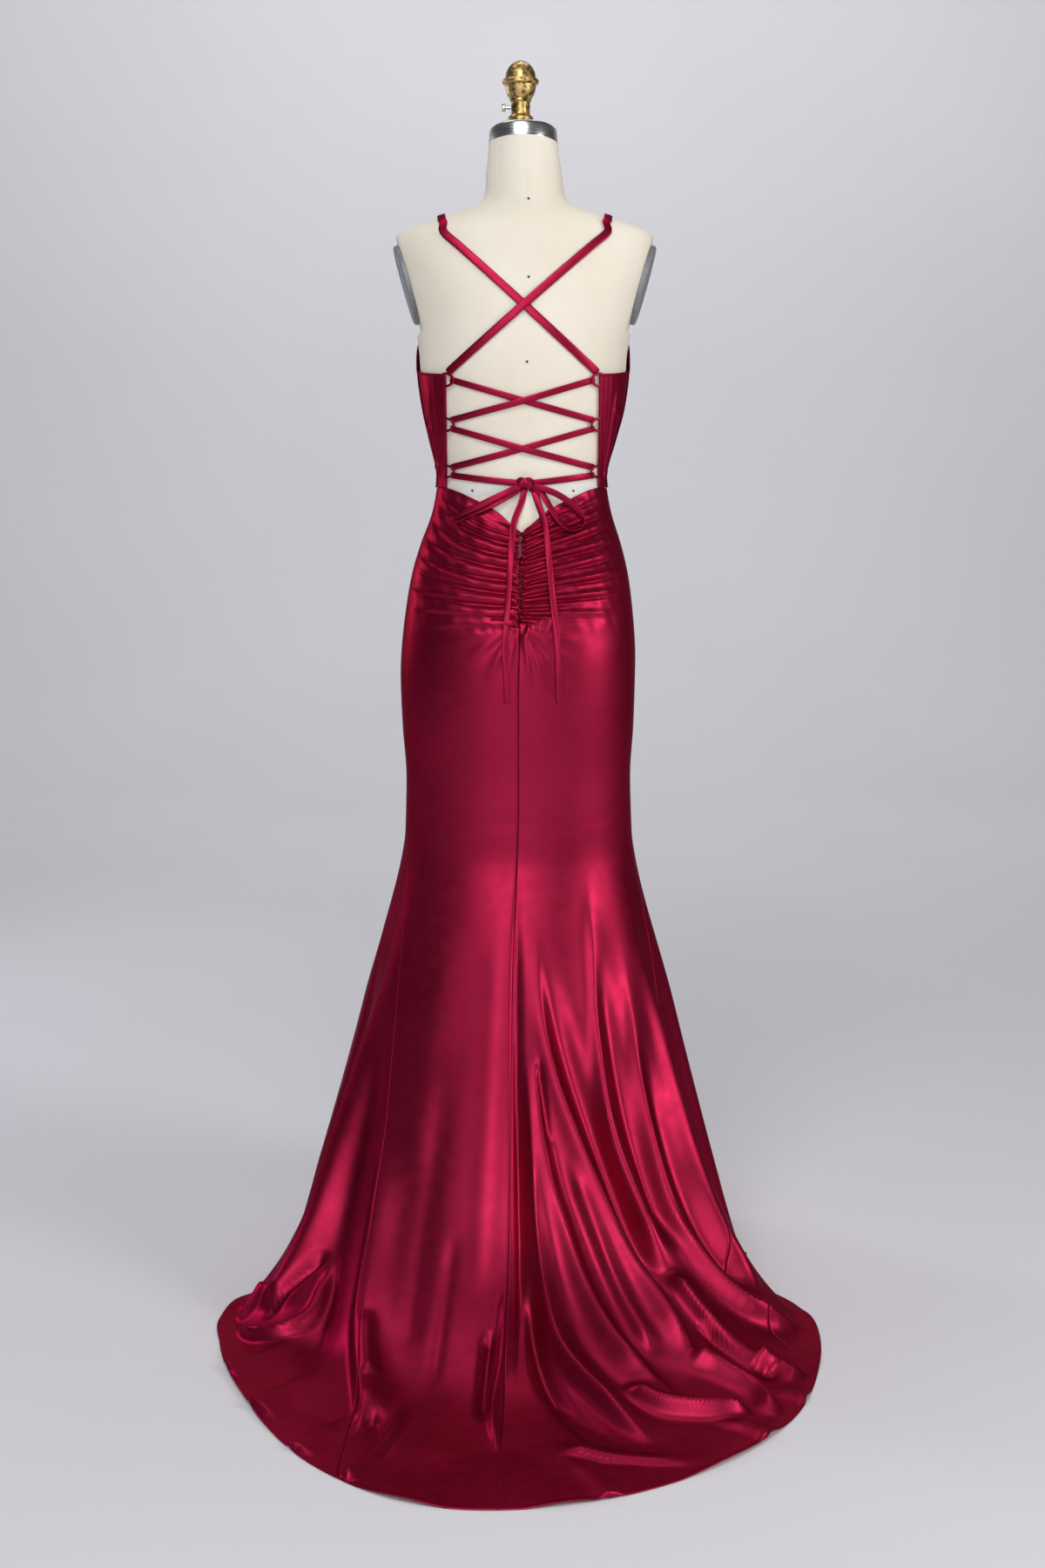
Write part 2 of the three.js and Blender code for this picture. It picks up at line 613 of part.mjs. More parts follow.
// The left loop lies flat: its ribbon goes out to the tip, and comes back a little lower, under itself
const flatLoop = {
  tip: { x: 86, z: 1044, lift: 11.5 },
  root: { x: 4, z: 1089 },
  over: { drop: 0, rootLift: 7.6, lift: 13.4 },
  under: { drop: 3, rootLift: 4.2, lift: 9.6 },
  rise: 0.35, // of its length, from the root, over which a layer rises
};
function bowLeft() {
  const { tip, root, over, under, rise } = flatLoop;
  const layer = ({ drop, rootLift, lift }) => (t) => ({
    x: lerp(root.x, tip.x, t),
    z: lerp(root.z - drop * (1 - t), tip.z, t) - drop * Math.sin(Math.PI * t),
    lift: lerp(rootLift, lift, smoothstep(t, 0, rise)),
  });
  const out = range(6).slice(0, -1).map(layer(over));
  const back = range(6).slice(0, -1).reverse().map(layer(under));
  return foldedRibbon([...out, tip, ...back], laceWidth);
}

// The right loop hangs open, as a drop
const openLoop = [
  { x: -14, z: 1089, lift: 7.6 },
  { x: -24, z: 1086, lift: 10.8 },
  { x: -38, z: 1080, lift: 12.4 },
  { x: -52, z: 1071, lift: 12.8 },
  { x: -65, z: 1059, lift: 12.4 },
  { x: -75, z: 1045, lift: 11.4 },
  { x: -76, z: 1036, lift: 10.8 },
  { x: -69, z: 1029, lift: 10.4 },
  { x: -58, z: 1031, lift: 10 },
  { x: -47, z: 1041, lift: 9.8 },
  { x: -38, z: 1055, lift: 9.4 },
  { x: -30, z: 1070, lift: 7.4 },
  { x: -24, z: 1081, lift: 5.4 },
  { x: -17, z: 1087, lift: 3.4 },
];

// The two hanging ends
const tailRoutes = {
  left: [
    { x: -3, z: 1086, lift: 1.6 },
    { x: 2, z: 1066, lift: 4.5 },
    { x: 11, z: 1040, lift: 8.2 },
    { x: 14, z: 1012, lift: 8.4 },
    { x: 16, z: 984, lift: 8.4 },
    { x: 18, z: 954, lift: 8.4 },
    { x: 20, z: 925, lift: 8.2 },
    { x: 22, z: 896, lift: 6.4 },
    { x: 23, z: 870, lift: 4.2 },
    { x: 21, z: 836, lift: 3.8 },
    { x: 20, z: 804, lift: 3.8 },
  ],
  right: [
    { x: -14.5, z: 1085, lift: 1.6 },
    { x: -21, z: 1064, lift: 4.5 },
    { x: -28, z: 1040, lift: 8.2 },
    { x: -32, z: 1010, lift: 8.4 },
    { x: -35, z: 980, lift: 8.4 },
    { x: -38, z: 950, lift: 8.4 },
    { x: -41, z: 920, lift: 8.2 },
    { x: -44, z: 890, lift: 6 },
    { x: -46, z: 862, lift: 4.2 },
    { x: -47.5, z: 834, lift: 3.8 },
    { x: -48, z: 805, lift: 3.8 },
  ],
};

// The zip's slider and the pull that hangs from it, at the top of the middle seam
const zipAngle = 0.2;
const zipSlider = { width: 5, height: 9, wall: 2.6, z: 1018, lift: 3.3 };
const zipPull = { width: 4.6, height: 20, wall: 1.2, z: 1003.4, lift: 3.9 };

// A thin plate with round ends, standing on the form's surface and facing outwards
function plate({ width, height, wall, z, lift }, angle) {
  const shape = new THREE.Shape();
  const [half, straight] = [width / 2, height / 2 - width / 2];
  shape.absarc(0, straight, half, 0, Math.PI, false);
  shape.absarc(0, -straight, half, Math.PI, 2 * Math.PI, false);
  const geometry = new THREE.ExtrudeGeometry(shape, {
    depth: wall,
    bevelEnabled: false,
    curveSegments: 5,
  });
  geometry.rotateX(Math.PI / 2);
  geometry.rotateZ(Math.PI);
  const seat = offFigure(z, angle, lift);
  const outward = offFigure(z, angle, lift + 1).sub(seat);
  geometry.translate(0, wall, 0);
  geometry.rotateX(Math.atan2(outward.z, outward.y));
  geometry.translate(seat.x, seat.y, seat.z);
  return geometry;
}

add(dress, "skirt_back_left", skirtBack(1), satin);
add(dress, "skirt_back_right", skirtBack(-1), satin);
add(dress, "skirt_front", skirtFront(), satin);
add(dress, "bodice_front", bodiceFront(), satin);
const panelLift = ease + clothWall / 2;
const sides = { left: 1, right: -1 };
for (const [name, side] of Object.entries(sides)) {
  const panel = bodiceBackGrid(side, 0, 1, 6, panelLift);
  add(dress, `bodice_back_${name}`, wallSolid(panel, clothWall), satin);
  add(dress, `placket_${name}`, placket(side), satin);
  add(dress, `strap_${name}`, strap(side, side > 0 ? 0 : 1), satin);
  loopHeights.forEach((height, i) => {
    add(dress, `lace_loop_${name}_${i + 1}`, laceLoop(side, height), satin);
  });
}

// The laces: each starts below one loop and ends above the next one down, on the other side
const laceEnd = (side, i, turn) => ({ x: side * laceReach, z: loopHeights[i] + turn * laceTurn });
add(dress, "lace_left_1", lace(laceEnd(1, 0, 0), laceEnd(-1, 1, 1), 0), satin);
add(dress, "lace_right_1", lace(laceEnd(-1, 0, 0), laceEnd(1, 1, 1), laceOver), satin);
add(dress, "lace_left_2", lace(laceEnd(1, 1, -1), laceEnd(-1, 2, 1), laceOver), satin);
add(dress, "lace_right_2", lace(laceEnd(-1, 1, -1), laceEnd(1, 2, 1), 0), satin);
const knotSide = (side) => ({ x: knotPlace.x + side * laceMeet.aside, z: knotPlace.z + laceMeet.above });
add(dress, "lace_left_3", lace(laceEnd(1, 2, -1), knotSide(1), 0), satin);
add(dress, "lace_right_3", lace(laceEnd(-1, 2, -1), knotSide(-1), 0), satin);
add(dress, "lace_knot", knot(), satin);
add(dress, "bow_left", bowLeft(), satin);
add(dress, "bow_right", ribbonOnFigure(openLoop, laceWidth), satin);
add(dress, "tail_left", ribbonOnFigure(tailRoutes.left, laceWidth), satin);
add(dress, "tail_right", ribbonOnFigure(tailRoutes.right, laceWidth), satin);
add(dress, "zip_slider", plate(zipSlider, zipAngle), darkSteel);
add(dress, "zip_pull", plate(zipPull, zipAngle), darkSteel);

// The form's body
function formTorso() {
  const heights = [
    formBottom, 830, 870, 920, 965, 1005, 1035, 1060, 1085, 1108, 1135, 1165, 1200, 1228, 1250, 1274,
    1298, 1322, 1347, 1372, 1396, 1412, 1421, 1430, 1438, 1446, 1454, 1463, 1475, 1495, 1515, neckTop,
  ];
  const around = 32;
  const positions = [];
  for (const z of heights) {
    for (let j = 0; j < around; j += 1) positions.push(...figurePoint(z, (360 * j) / around));
  }
  const indices = [];
  for (let i = 0; i + 1 < heights.length; i += 1) {
    for (let j = 0; j < around; j += 1) {
      const [a, b] = [i * around + j, i * around + ((j + 1) % around)];
      indices.push(a, b + around, b, a, a + around, b + around);
    }
  }
  const top = (heights.length - 1) * around;
  for (let j = 1; j + 1 < around; j += 1) {
    indices.push(0, j, j + 1);
    indices.push(top, top + j + 1, top + j);
  }
  return meshOf(positions, indices);
}

// A turned piece on an upright axis from a profile of {r, z} places
function turned(profile, around) {
  const points = profile.map(({ r, z }) => new THREE.Vector2(r, z));
  return new THREE.LatheGeometry(points, around).rotateX(Math.PI / 2);
}

// The steel cap on the neck: a band and a low dome, tilted with the neck
function neckCap() {
  const cap = turned(
    [
      { r: 0, z: 0 },
      { r: 46.2, z: 0 },
      { r: 45.6, z: 19 },
      { r: 43.5, z: 21 },
      { r: 24, z: 23.5 },
      { r: 0, z: 23.5 },
    ],
    28,
  );
  cap.rotateX(Math.atan(neckLean.slope));
  cap.translate(-1, neckLean.centre, neckTop + restGap);
  return cap;
}

// The gilt finial, on a short collar that stands on the cap
const finialAxis = { x: 2.5, y: -8 };
const collar = { radius: 12.5, foot: 1567.5 };
function finial() {
  const shape = turned(
    [
      { r: 0, z: collar.foot - 2.8 },
      { r: 8, z: collar.foot - 2.8 },
      { r: 8, z: collar.foot },
      { r: 17.5, z: collar.foot },
      { r: 17.5, z: 1578 },
      { r: 13.5, z: 1580 },
      { r: collar.radius, z: 1582 },
      { r: collar.radius, z: 1597 },
      { r: 16, z: 1602 },
      { r: 19.5, z: 1610 },
      { r: 20.5, z: 1619 },
      { r: 24.6, z: 1621 },
      { r: 24.6, z: 1625 },
      { r: 20.5, z: 1627 },
      { r: 19.6, z: 1634 },
      { r: 15.5, z: 1643 },
      { r: 8, z: 1649 },
      { r: 0, z: 1651 },
    ],
    20,
  );
  return shape.translate(finialAxis.x, finialAxis.y, 0);
}

// The thumb screw, which turns on its own axis in the collar's left side
const screw = { z: 1590, shank: 2.3, head: 5.5, headFrom: 20.5, headTo: 25 };
function neckScrew() {
  const shape = turned(
    [
      { r: 0, z: collar.radius + restGap },
      { r: screw.shank, z: collar.radius + restGap },
      { r: screw.shank, z: screw.headFrom },
      { r: screw.head, z: screw.headFrom },
      { r: screw.head, z: screw.headTo },
      { r: 0, z: screw.headTo },
    ],
    12,
  );
  shape.rotateY(Math.PI / 2);
  return shape.translate(finialAxis.x, finialAxis.y, screw.z);
}

// The oval plate on an armhole
const armPlateSize = { half: 42, rise: 54, wall: 7, y: -4, inset: 3 };
function armPlate(side) {
  const { half, rise, wall, y, inset } = armPlateSize;
  const disc = new THREE.CylinderGeometry(1, 1, wall, 28).rotateZ(Math.PI / 2);
  disc.scale(1, half, rise);
  disc.translate(wall / 2 + restGap, 0, 0);
  disc.rotateY(Math.atan(armhole.lean * Math.cos(degToRad(armhole.turn))));
  disc.rotateZ(side > 0 ? degToRad(armhole.turn) : Math.PI - degToRad(armhole.turn));
  disc.translate(armholeLimit(y, armhole.z) * side - inset, y, armhole.z);
  return disc;
}

function pole() {
  const height = formBottom - baseHeight - 2 * restGap;
  const tube = new THREE.CylinderGeometry(poleRadius, poleRadius, height, 20).rotateX(Math.PI / 2);
  return tube.translate(0, 0, baseHeight + restGap + height / 2);
}

function base() {
  return turned(
    [
      { r: 0, z: 0 },
      { r: baseRadius, z: 0 },
      { r: baseRadius, z: 12 },
      { r: baseRadius - 8, z: 17 },
      { r: 30, z: baseHeight },
      { r: 0, z: baseHeight },
    ],
    40,
  );
}

add(stand, "form_torso", formTorso(), canvas);
add(stand, "neck_cap", neckCap(), steel);
add(stand, "finial", finial(), gilding);
add(stand, "neck_screw", neckScrew(), steel);
add(stand, "arm_plate_left", armPlate(1), greyPaint);
add(stand, "arm_plate_right", armPlate(-1), greyPaint);
add(stand, "pole", pole(), blackPaint);
add(stand, "base", base(), blackPaint);

const part = new THREE.Group();
part.add(dress, stand);
export default part;
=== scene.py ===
# Satin mermaid gown with a laced back and a long train, on a limbless dress form.
# Metres, +Z up, origin on the floor under the pole. The back of the gown faces +Y, the wearer's left is +X.
# An angle goes round the figure in degrees: 0 at the middle of the back, 90 at the wearer's left.
import bpy
import bmesh
import math
import numpy as np
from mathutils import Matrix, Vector


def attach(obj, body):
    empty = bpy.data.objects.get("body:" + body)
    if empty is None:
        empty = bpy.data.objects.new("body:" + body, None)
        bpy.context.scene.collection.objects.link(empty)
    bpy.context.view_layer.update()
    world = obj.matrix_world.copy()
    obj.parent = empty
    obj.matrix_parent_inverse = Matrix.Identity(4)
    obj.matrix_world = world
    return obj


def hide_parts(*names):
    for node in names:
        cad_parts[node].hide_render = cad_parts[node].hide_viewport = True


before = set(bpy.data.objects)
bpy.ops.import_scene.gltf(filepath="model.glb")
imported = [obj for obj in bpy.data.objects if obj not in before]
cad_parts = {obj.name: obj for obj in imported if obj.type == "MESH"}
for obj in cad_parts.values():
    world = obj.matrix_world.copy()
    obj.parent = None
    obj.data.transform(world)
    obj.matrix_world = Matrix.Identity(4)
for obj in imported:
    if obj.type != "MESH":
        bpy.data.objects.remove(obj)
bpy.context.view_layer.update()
print("frame loaded:", len(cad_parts), "nodes")

mm = 0.001
mainBody = "gown_and_form"
hugSide = 88.0  # the angle of the side seams above the knee
# out is the distance from the form to the cloth's outer face, and bodiceOut what the bust adds, in millimetres
cloth = dict(wall=1.0 * mm, seamGap=0.08 * mm, out=2.9, bodiceOut=2.2)

scene = bpy.context.scene


# Camera: a 50 mm lens at 3 m, 1.1 m up, tilted a little down, square on to the back
def makeCamera():
    lens = bpy.data.cameras.new("camera")
    lens.lens = 50
    lens.sensor_width = 36
    camera = bpy.data.objects.new("camera", lens)
    camera.location = (0.0, 3.0, 1.10)
    camera.rotation_euler = (math.radians(82), 0, math.radians(180))
    scene.collection.objects.link(camera)
    scene.camera = camera


makeCamera()


# Tables of the figure and the gown, in millimetres

figureRows = dict(
    z=[640, 700, 760, 830, 870, 920, 970, 1010, 1050, 1085, 1110, 1150, 1190, 1230, 1270,
       1310, 1360, 1400, 1420, 1430, 1440, 1450, 1462, 1475, 1500, 1539],
    half=[154, 153, 157, 159, 158, 153, 145, 134, 120, 113, 112, 122, 132, 138, 141,
          149, 164, 173, 173, 160, 130, 97, 64, 54, 51, 46],
    back=[112, 113, 117, 120, 119, 112, 101, 88, 77, 72, 74, 80, 87, 93, 97,
          98, 94, 84, 78, 74, 70, 64, 57, 52, 45, 40],
    front=[101, 102, 103, 105, 105, 104, 102, 98, 92, 86, 85, 88, 93, 97, 97,
           90, 77, 68, 62, 61, 60, 59, 57, 54, 51, 52],
    square=[2.3, 2.3, 2.3, 2.3, 2.3, 2.3, 2.3, 2.25, 2.2, 2.2, 2.2, 2.2, 2.2, 2.2, 2.25,
            2.3, 2.3, 2.3, 2.2, 2.1, 2, 2, 2, 2, 2, 2],
    shift=[6, 6, 6, 6, 5, 4, 3, 2, 1, 1, 1, 0, -1, -1, -1,
           -3, -3, -3, -3, -3, -3, -3, -3, -3, -2, -1],
)
hemRows = dict(
    angle=[-180, -120, -90, -70, -61, -54, -41, -29, -17, -6, 4, 11, 19, 27, 35, 49, 57, 63, 71, 90, 120, 180],
    reach=[310, 303, 306, 335, 420, 474, 560, 650, 723, 772, 790, 773, 722, 657, 596, 514, 478, 435, 360, 335,
           318, 310],
)
flareRows = dict(
    along=[0, 0.06, 0.14, 0.29, 0.45, 0.6, 0.76, 0.9, 1],
    backFall=[0, 0.1, 0.23, 0.455, 0.68, 0.85, 0.965, 1, 1],
    backSpread=[0, 0.006, 0.04, 0.125, 0.25, 0.4, 0.61, 0.84, 1],
    sideFall=[0, 0.062, 0.145, 0.31, 0.49, 0.66, 0.84, 0.98, 1],
    sideSpread=[0, 0.016, 0.08, 0.25, 0.43, 0.61, 0.8, 0.93, 1],
)
seamRows = dict(
    along=[0, 0.1, 0.2, 0.36, 0.5, 0.65, 0.8, 1],
    middle=[0, 0.8, 1.4, 1.7, 1.8, 1.9, 2, 2],
    left=[88, 68, 55, 44, 36, 29, 21, 16],
    right=[88, 84, 79, 70, 60, 50, 44, 44],
)
topEdgeRows = dict(angle=[0, 12, 25, 54, 88], z=[1027, 1052, 1067, 1085, 1086])
necklineRows = dict(
    angle=[88, 97, 105, 125, 140, 147, 154, 168, 180],
    z=[1244, 1268, 1282, 1298, 1321, 1331, 1314, 1276, 1250],
)


# The shapes of the figure and the skirt, worked out for whole arrays of places at once, in millimetres

def readRows(rows, key, place, column):
    keys, values = np.array(rows[key], float), np.array(rows[column], float)
    slopes = np.empty_like(values)
    slopes[1:-1] = (values[2:] - values[:-2]) / (keys[2:] - keys[:-2])
    slopes[0] = (values[1] - values[0]) / (keys[1] - keys[0])
    slopes[-1] = (values[-1] - values[-2]) / (keys[-1] - keys[-2])
    place = np.clip(np.asarray(place, float), keys[0], keys[-1])
    i = np.clip(np.searchsorted(keys, place, "right") - 1, 0, len(keys) - 2)
    span = keys[i + 1] - keys[i]
    t = (place - keys[i]) / span
    rise = t * t * (3 - 2 * t)
    bend = t * (1 - t) * span * (slopes[i] * (1 - t) - slopes[i + 1] * t)
    return values[i] + (values[i + 1] - values[i]) * rise + bend


def smoothStep(x, low, high):
    t = np.clip((x - low) / (high - low), 0, 1)
    return t * t * (3 - 2 * t)


def mixed(a, b, t):
    return a + (b - a) * t


def signedPower(value, exponent):
    return np.sign(value) * np.abs(value) ** exponent


bust = dict(apart=78, height=1250, reach=30, across=42, up=48)
armhole = dict(x=156, z=1358, lean=0.28, turn=5, bottom=1296, ledge=60)
neck = dict(leanFrom=1465, top=1539, slope=0.21, centre=-6)


def armholeLimit(y, z):
    height = np.maximum(z, armhole["bottom"]) - armhole["z"]
    plane = armhole["x"] + armhole["lean"] * height - y * math.tan(math.radians(armhole["turn"]))
    return plane + armhole["ledge"] * (1 - smoothStep(z, armhole["bottom"] - 20, armhole["bottom"]))


def figurePoint(z, angle):
    z, angle = np.broadcast_arrays(np.asarray(z, float), np.asarray(angle, float))
    s, c = np.sin(np.radians(angle)), np.cos(np.radians(angle))
    half, square, shift = (readRows(figureRows, "z", z, name) for name in ("half", "square", "shift"))
    depth = np.where(c > 0, readRows(figureRows, "z", z, "back"), readRows(figureRows, "z", z, "front"))
    x = half * signedPower(s, 2 / square)
    y = depth * signedPower(c, 2 / square)
    x = np.sign(s) * np.minimum(np.abs(x), armholeLimit(y, z)) + shift
    across = (np.abs(x) - bust["apart"]) / bust["across"]
    up = (z - bust["height"]) / bust["up"]
    y = y - bust["reach"] * np.exp(-across**2 - up**2) * smoothStep(-c, 0, 0.5)
    lean = neck["slope"] * smoothStep(z, neck["leanFrom"], neck["top"]) * (y - neck["centre"])
    return np.stack([x, y, z + lean], -1)


def unit(vectors):
    return vectors / np.maximum(np.linalg.norm(vectors, axis=-1, keepdims=True), 1e-9)


def figureNormal(z, angle):
    step = 1.0
    across = figurePoint(z, angle + step) - figurePoint(z, angle - step)
    down = figurePoint(z - step, angle) - figurePoint(z + step, angle)
    return unit(np.cross(across, down))


def offFigure(z, angle, lift):
    return figurePoint(z, angle) + figureNormal(z, angle) * np.asarray(lift, float)[..., None]


def angleAt(x, z):
    share = np.clip((x - readRows(figureRows, "z", z, "shift")) / readRows(figureRows, "z", z, "half"), -1, 1)
    return np.degrees(np.arcsin(signedPower(share, readRows(figureRows, "z", z, "square") / 2)))


knee, waist = 640, 1086


# A level from 1 to 0 goes from the waist seam to the knee line, and from 0 to -1 along the flare to the hem
def skirtPoint(angle, level):
    angle, level = np.broadcast_arrays(np.asarray(angle, float), np.asarray(level, float))
    high = offFigure(mixed(knee, waist, np.maximum(level, 0)), angle, np.full(angle.shape, cloth["out"]))
    along = np.clip(-level, 0, 1)
    s, c = np.sin(np.radians(angle)), np.cos(np.radians(angle))
    turn = angle - 360 * np.round(angle / 360)
    reach = readRows(hemRows, "angle", turn, "reach")
    back = np.maximum(0, c)
    row = {name: readRows(flareRows, "along", along, name) for name in flareRows if name != "along"}
    spread, fall = (mixed(row["side" + name], row["back" + name], back) for name in ("Spread", "Fall"))
    x, y = mixed(high[..., 0], reach * s, spread), mixed(high[..., 1], reach * c, spread)
    low = np.stack([x, y, knee * (1 - fall)], -1)
    return np.where((level >= 0)[..., None], high, low)


def skirtNormal(angle, level):
    turn, step = 0.6, 0.004
    across = skirtPoint(angle + turn, level) - skirtPoint(angle - turn, level)
    down = skirtPoint(angle, np.maximum(level - step, -1)) - skirtPoint(angle, level + step)
    return unit(np.cross(across, down))


# A smooth line through places, as evenly numbered points
def smoothLine(places, count):
    places = np.array(places, float)
    ends = [2 * places[0] - places[1]], [2 * places[-1] - places[-2]]
    around = np.concatenate([ends[0], places, ends[1]])
    t = np.linspace(0, len(places) - 1, count)
    i = np.minimum(t.astype(int), len(places) - 2)
    f = (t - i)[:, None]
    a, b, c, d = (around[i + k] for k in range(4))
    return b + 0.5 * f * (c - a + f * (2 * a - 5 * b + 4 * c - d + f * (3 * (b - c) + d - a)))


# How far the folds lift each point off the smooth cloth. A fold is a ridge along its route, or a trough where
# its height is negative, with its width and height from start to end. A skewed one is steeper on one side.
def foldLift(points, normals, folds, surface):
    lift = np.zeros(len(points))
    for fold in folds:
        line = surface(*smoothLine(fold["route"], 24).T)
        wide, high = fold["width"], fold["height"]
        reach = 3.2 * max(wide)
        near = np.all((points > line.min(0) - reach) & (points < line.max(0) + reach), axis=1)
        chosen = np.flatnonzero(near)
        if len(chosen) == 0:
            continue
        place, facing = points[chosen], normals[chosen]
        best, share, side = np.full(len(chosen), 1e9), np.zeros(len(chosen)), np.ones(len(chosen))
        for k in range(len(line) - 1):
            run = line[k + 1] - line[k]
            s = np.clip((place - line[k]) @ run / max(run @ run, 1e-9), 0, 1)
            off = place - line[k] - s[:, None] * run
            away = np.linalg.norm(off, axis=1)
            closer = away < best
            best[closer] = away[closer]
            share[closer] = (k + s[closer]) / (len(line) - 1)
            turned = np.einsum("ij,ij->i", np.cross(run, off), facing)
            side[closer] = np.sign(turned[closer])
        skew = fold.get("skew", 0)
        width = mixed(wide[0], wide[1], share) * (1 - skew * side)
        start, end = fold.get("fade", (0.2, 0.2))
        taper = smoothStep(share, 0, start) * (1 - smoothStep(share, 1 - end, 1))
        crest = np.exp(-((best / width) ** fold.get("crest", 2)))
        lift[chosen] += mixed(high[0], high[1], share) * taper * crest
    return lift


def fold(route, width, height, **shape):
    return dict(route=route, width=width, height=height, **shape)


# Materials

def nodeMaterial(name):
    material = bpy.data.materials.new(name)
    material.use_nodes = True
    tree = material.node_tree
    return material, tree.nodes, tree.links, tree.nodes["Principled BSDF"]


def noiseNode(nodes, links, scale, detail=3, stretch=(1, 1, 1), source="Object"):
    place = nodes.new("ShaderNodeTexCoord")
    mapping = nodes.new("ShaderNodeMapping")
    mapping.inputs["Scale"].default_value = stretch
    noise = nodes.new("ShaderNodeTexNoise")
    noise.inputs["Scale"].default_value = scale
    noise.inputs["Detail"].default_value = detail
    links.new(place.outputs[source], mapping.inputs["Vector"])
    links.new(mapping.outputs["Vector"], noise.inputs["Vector"])
    return noise.outputs["Fac"]


def rampNode(nodes, links, value, stops):
    ramp = nodes.new("ShaderNodeValToRGB")
    elements = ramp.color_ramp.elements
    while len(elements) < len(stops):
        elements.new(0.5)
    for element, (position, colour) in zip(elements, stops):
        element.position = position
        element.color = (*colour, 1)
    links.new(value, ramp.inputs["Fac"])
    return ramp.outputs["Color"]


def rangeNode(nodes, links, value, low, high):
    span = nodes.new("ShaderNodeMapRange")
    span.inputs["From Min"].default_value, span.inputs["From Max"].default_value = 0.3, 0.7
    span.inputs["To Min"].default_value, span.inputs["To Max"].default_value = low, high
    links.new(value, span.inputs["Value"])
    return span.outputs["Result"]


def bumpNode(nodes, links, value, strength, distance, before=None):
    bump = nodes.new("ShaderNodeBump")
    bump.inputs["Strength"].default_value = strength
    bump.inputs["Distance"].default_value = distance
    links.new(value, bump.inputs["Height"])
    if before is not None:
        links.new(before, bump.inputs["Normal"])
    return bump.outputs["Normal"]


def waveNode(nodes, links, scale, direction, source="UV"):
    place = nodes.new("ShaderNodeTexCoord")
    wave = nodes.new("ShaderNodeTexWave")
    wave.bands_direction = direction
    wave.inputs["Scale"].default_value = scale
    wave.inputs["Distortion"].default_value = 1.2
    wave.inputs["Detail"].default_value = 1
    links.new(place.outputs[source], wave.inputs["Vector"])
    return wave.outputs["Fac"]


satinLook = dict(
    bright=(0.40, 0.015, 0.056), deep=(0.30, 0.009, 0.039), edge=(0.26, 0.14, 0.30), metallic=0.92,
    rough=(0.38, 0.46), toneScale=5, roughScale=60, grainScale=900, grain=(0.12, 0.0002),
    crinkleScale=26, crinkle=(0.22, 0.0012),
)
canvasLook = dict(
    pale=(0.92, 0.86, 0.745), deep=(0.84, 0.765, 0.635), rough=0.88, toneScale=7,
    threads=420, weave=(0.25, 0.0003), slubScale=300, slub=(0.2, 0.0004),
)


def satinMaterial(name, look):
    material, nodes, links, shader = nodeMaterial(name)
    tone = noiseNode(nodes, links, look["toneScale"], 3)
    colour = rampNode(nodes, links, tone, [(0.3, look["deep"]), (0.7, look["bright"])])
    links.new(colour, shader.inputs["Base Color"])
    grain = noiseNode(nodes, links, look["grainScale"], 2, (1, 1, 0.3))
    sheen = rangeNode(nodes, links, noiseNode(nodes, links, look["roughScale"], 4), *look["rough"])
    links.new(sheen, shader.inputs["Roughness"])
    shader.inputs["Metallic"].default_value = look["metallic"]
    shader.inputs["Specular Tint"].default_value = (*look["edge"], 1)
    crinkle = bumpNode(nodes, links, noiseNode(nodes, links, look["crinkleScale"], 4), *look["crinkle"])
    links.new(bumpNode(nodes, links, grain, *look["grain"], crinkle), shader.inputs["Normal"])
    return material


def canvasMaterial(name, look):
    material, nodes, links, shader = nodeMaterial(name)
    tone = noiseNode(nodes, links, look["toneScale"], 4)
    colour = rampNode(nodes, links, tone, [(0.3, look["deep"]), (0.7, look["pale"])])
    links.new(colour, shader.inputs["Base Color"])
    shader.inputs["Roughness"].default_value = look["rough"]
    weft = bumpNode(nodes, links, waveNode(nodes, links, look["threads"], "X"), *look["weave"])
    warp = bumpNode(nodes, links, waveNode(nodes, links, look["threads"], "Y"), *look["weave"], weft)
    slub = noiseNode(nodes, links, look["slubScale"], 3)
    links.new(bumpNode(nodes, links, slub, *look["slub"], warp), shader.inputs["Normal"])
    return material


# A painted or metal surface: its colour is mottled from low to high
def metalMaterial(name, look):
    material, nodes, links, shader = nodeMaterial(name)
    stretch = look.get("stretch", (1, 1, 1))
    stops = look.get("stops", (0.35, 0.65))
    mottle = noiseNode(nodes, links, look["scale"], 5, stretch)
    colour = rampNode(nodes, links, mottle, [(stops[0], look["low"]), (stops[1], look["high"])])
    links.new(colour, shader.inputs["Base Color"])
    sheen = noiseNode(nodes, links, look["scale"] * 2, 4, stretch)
    links.new(rangeNode(nodes, links, sheen, *look["rough"]), shader.inputs["Roughness"])
    shader.inputs["Metallic"].default_value = look["metallic"]
    links.new(bumpNode(nodes, links, mottle, look["bump"], 0.0006), shader.inputs["Normal"])
    return material


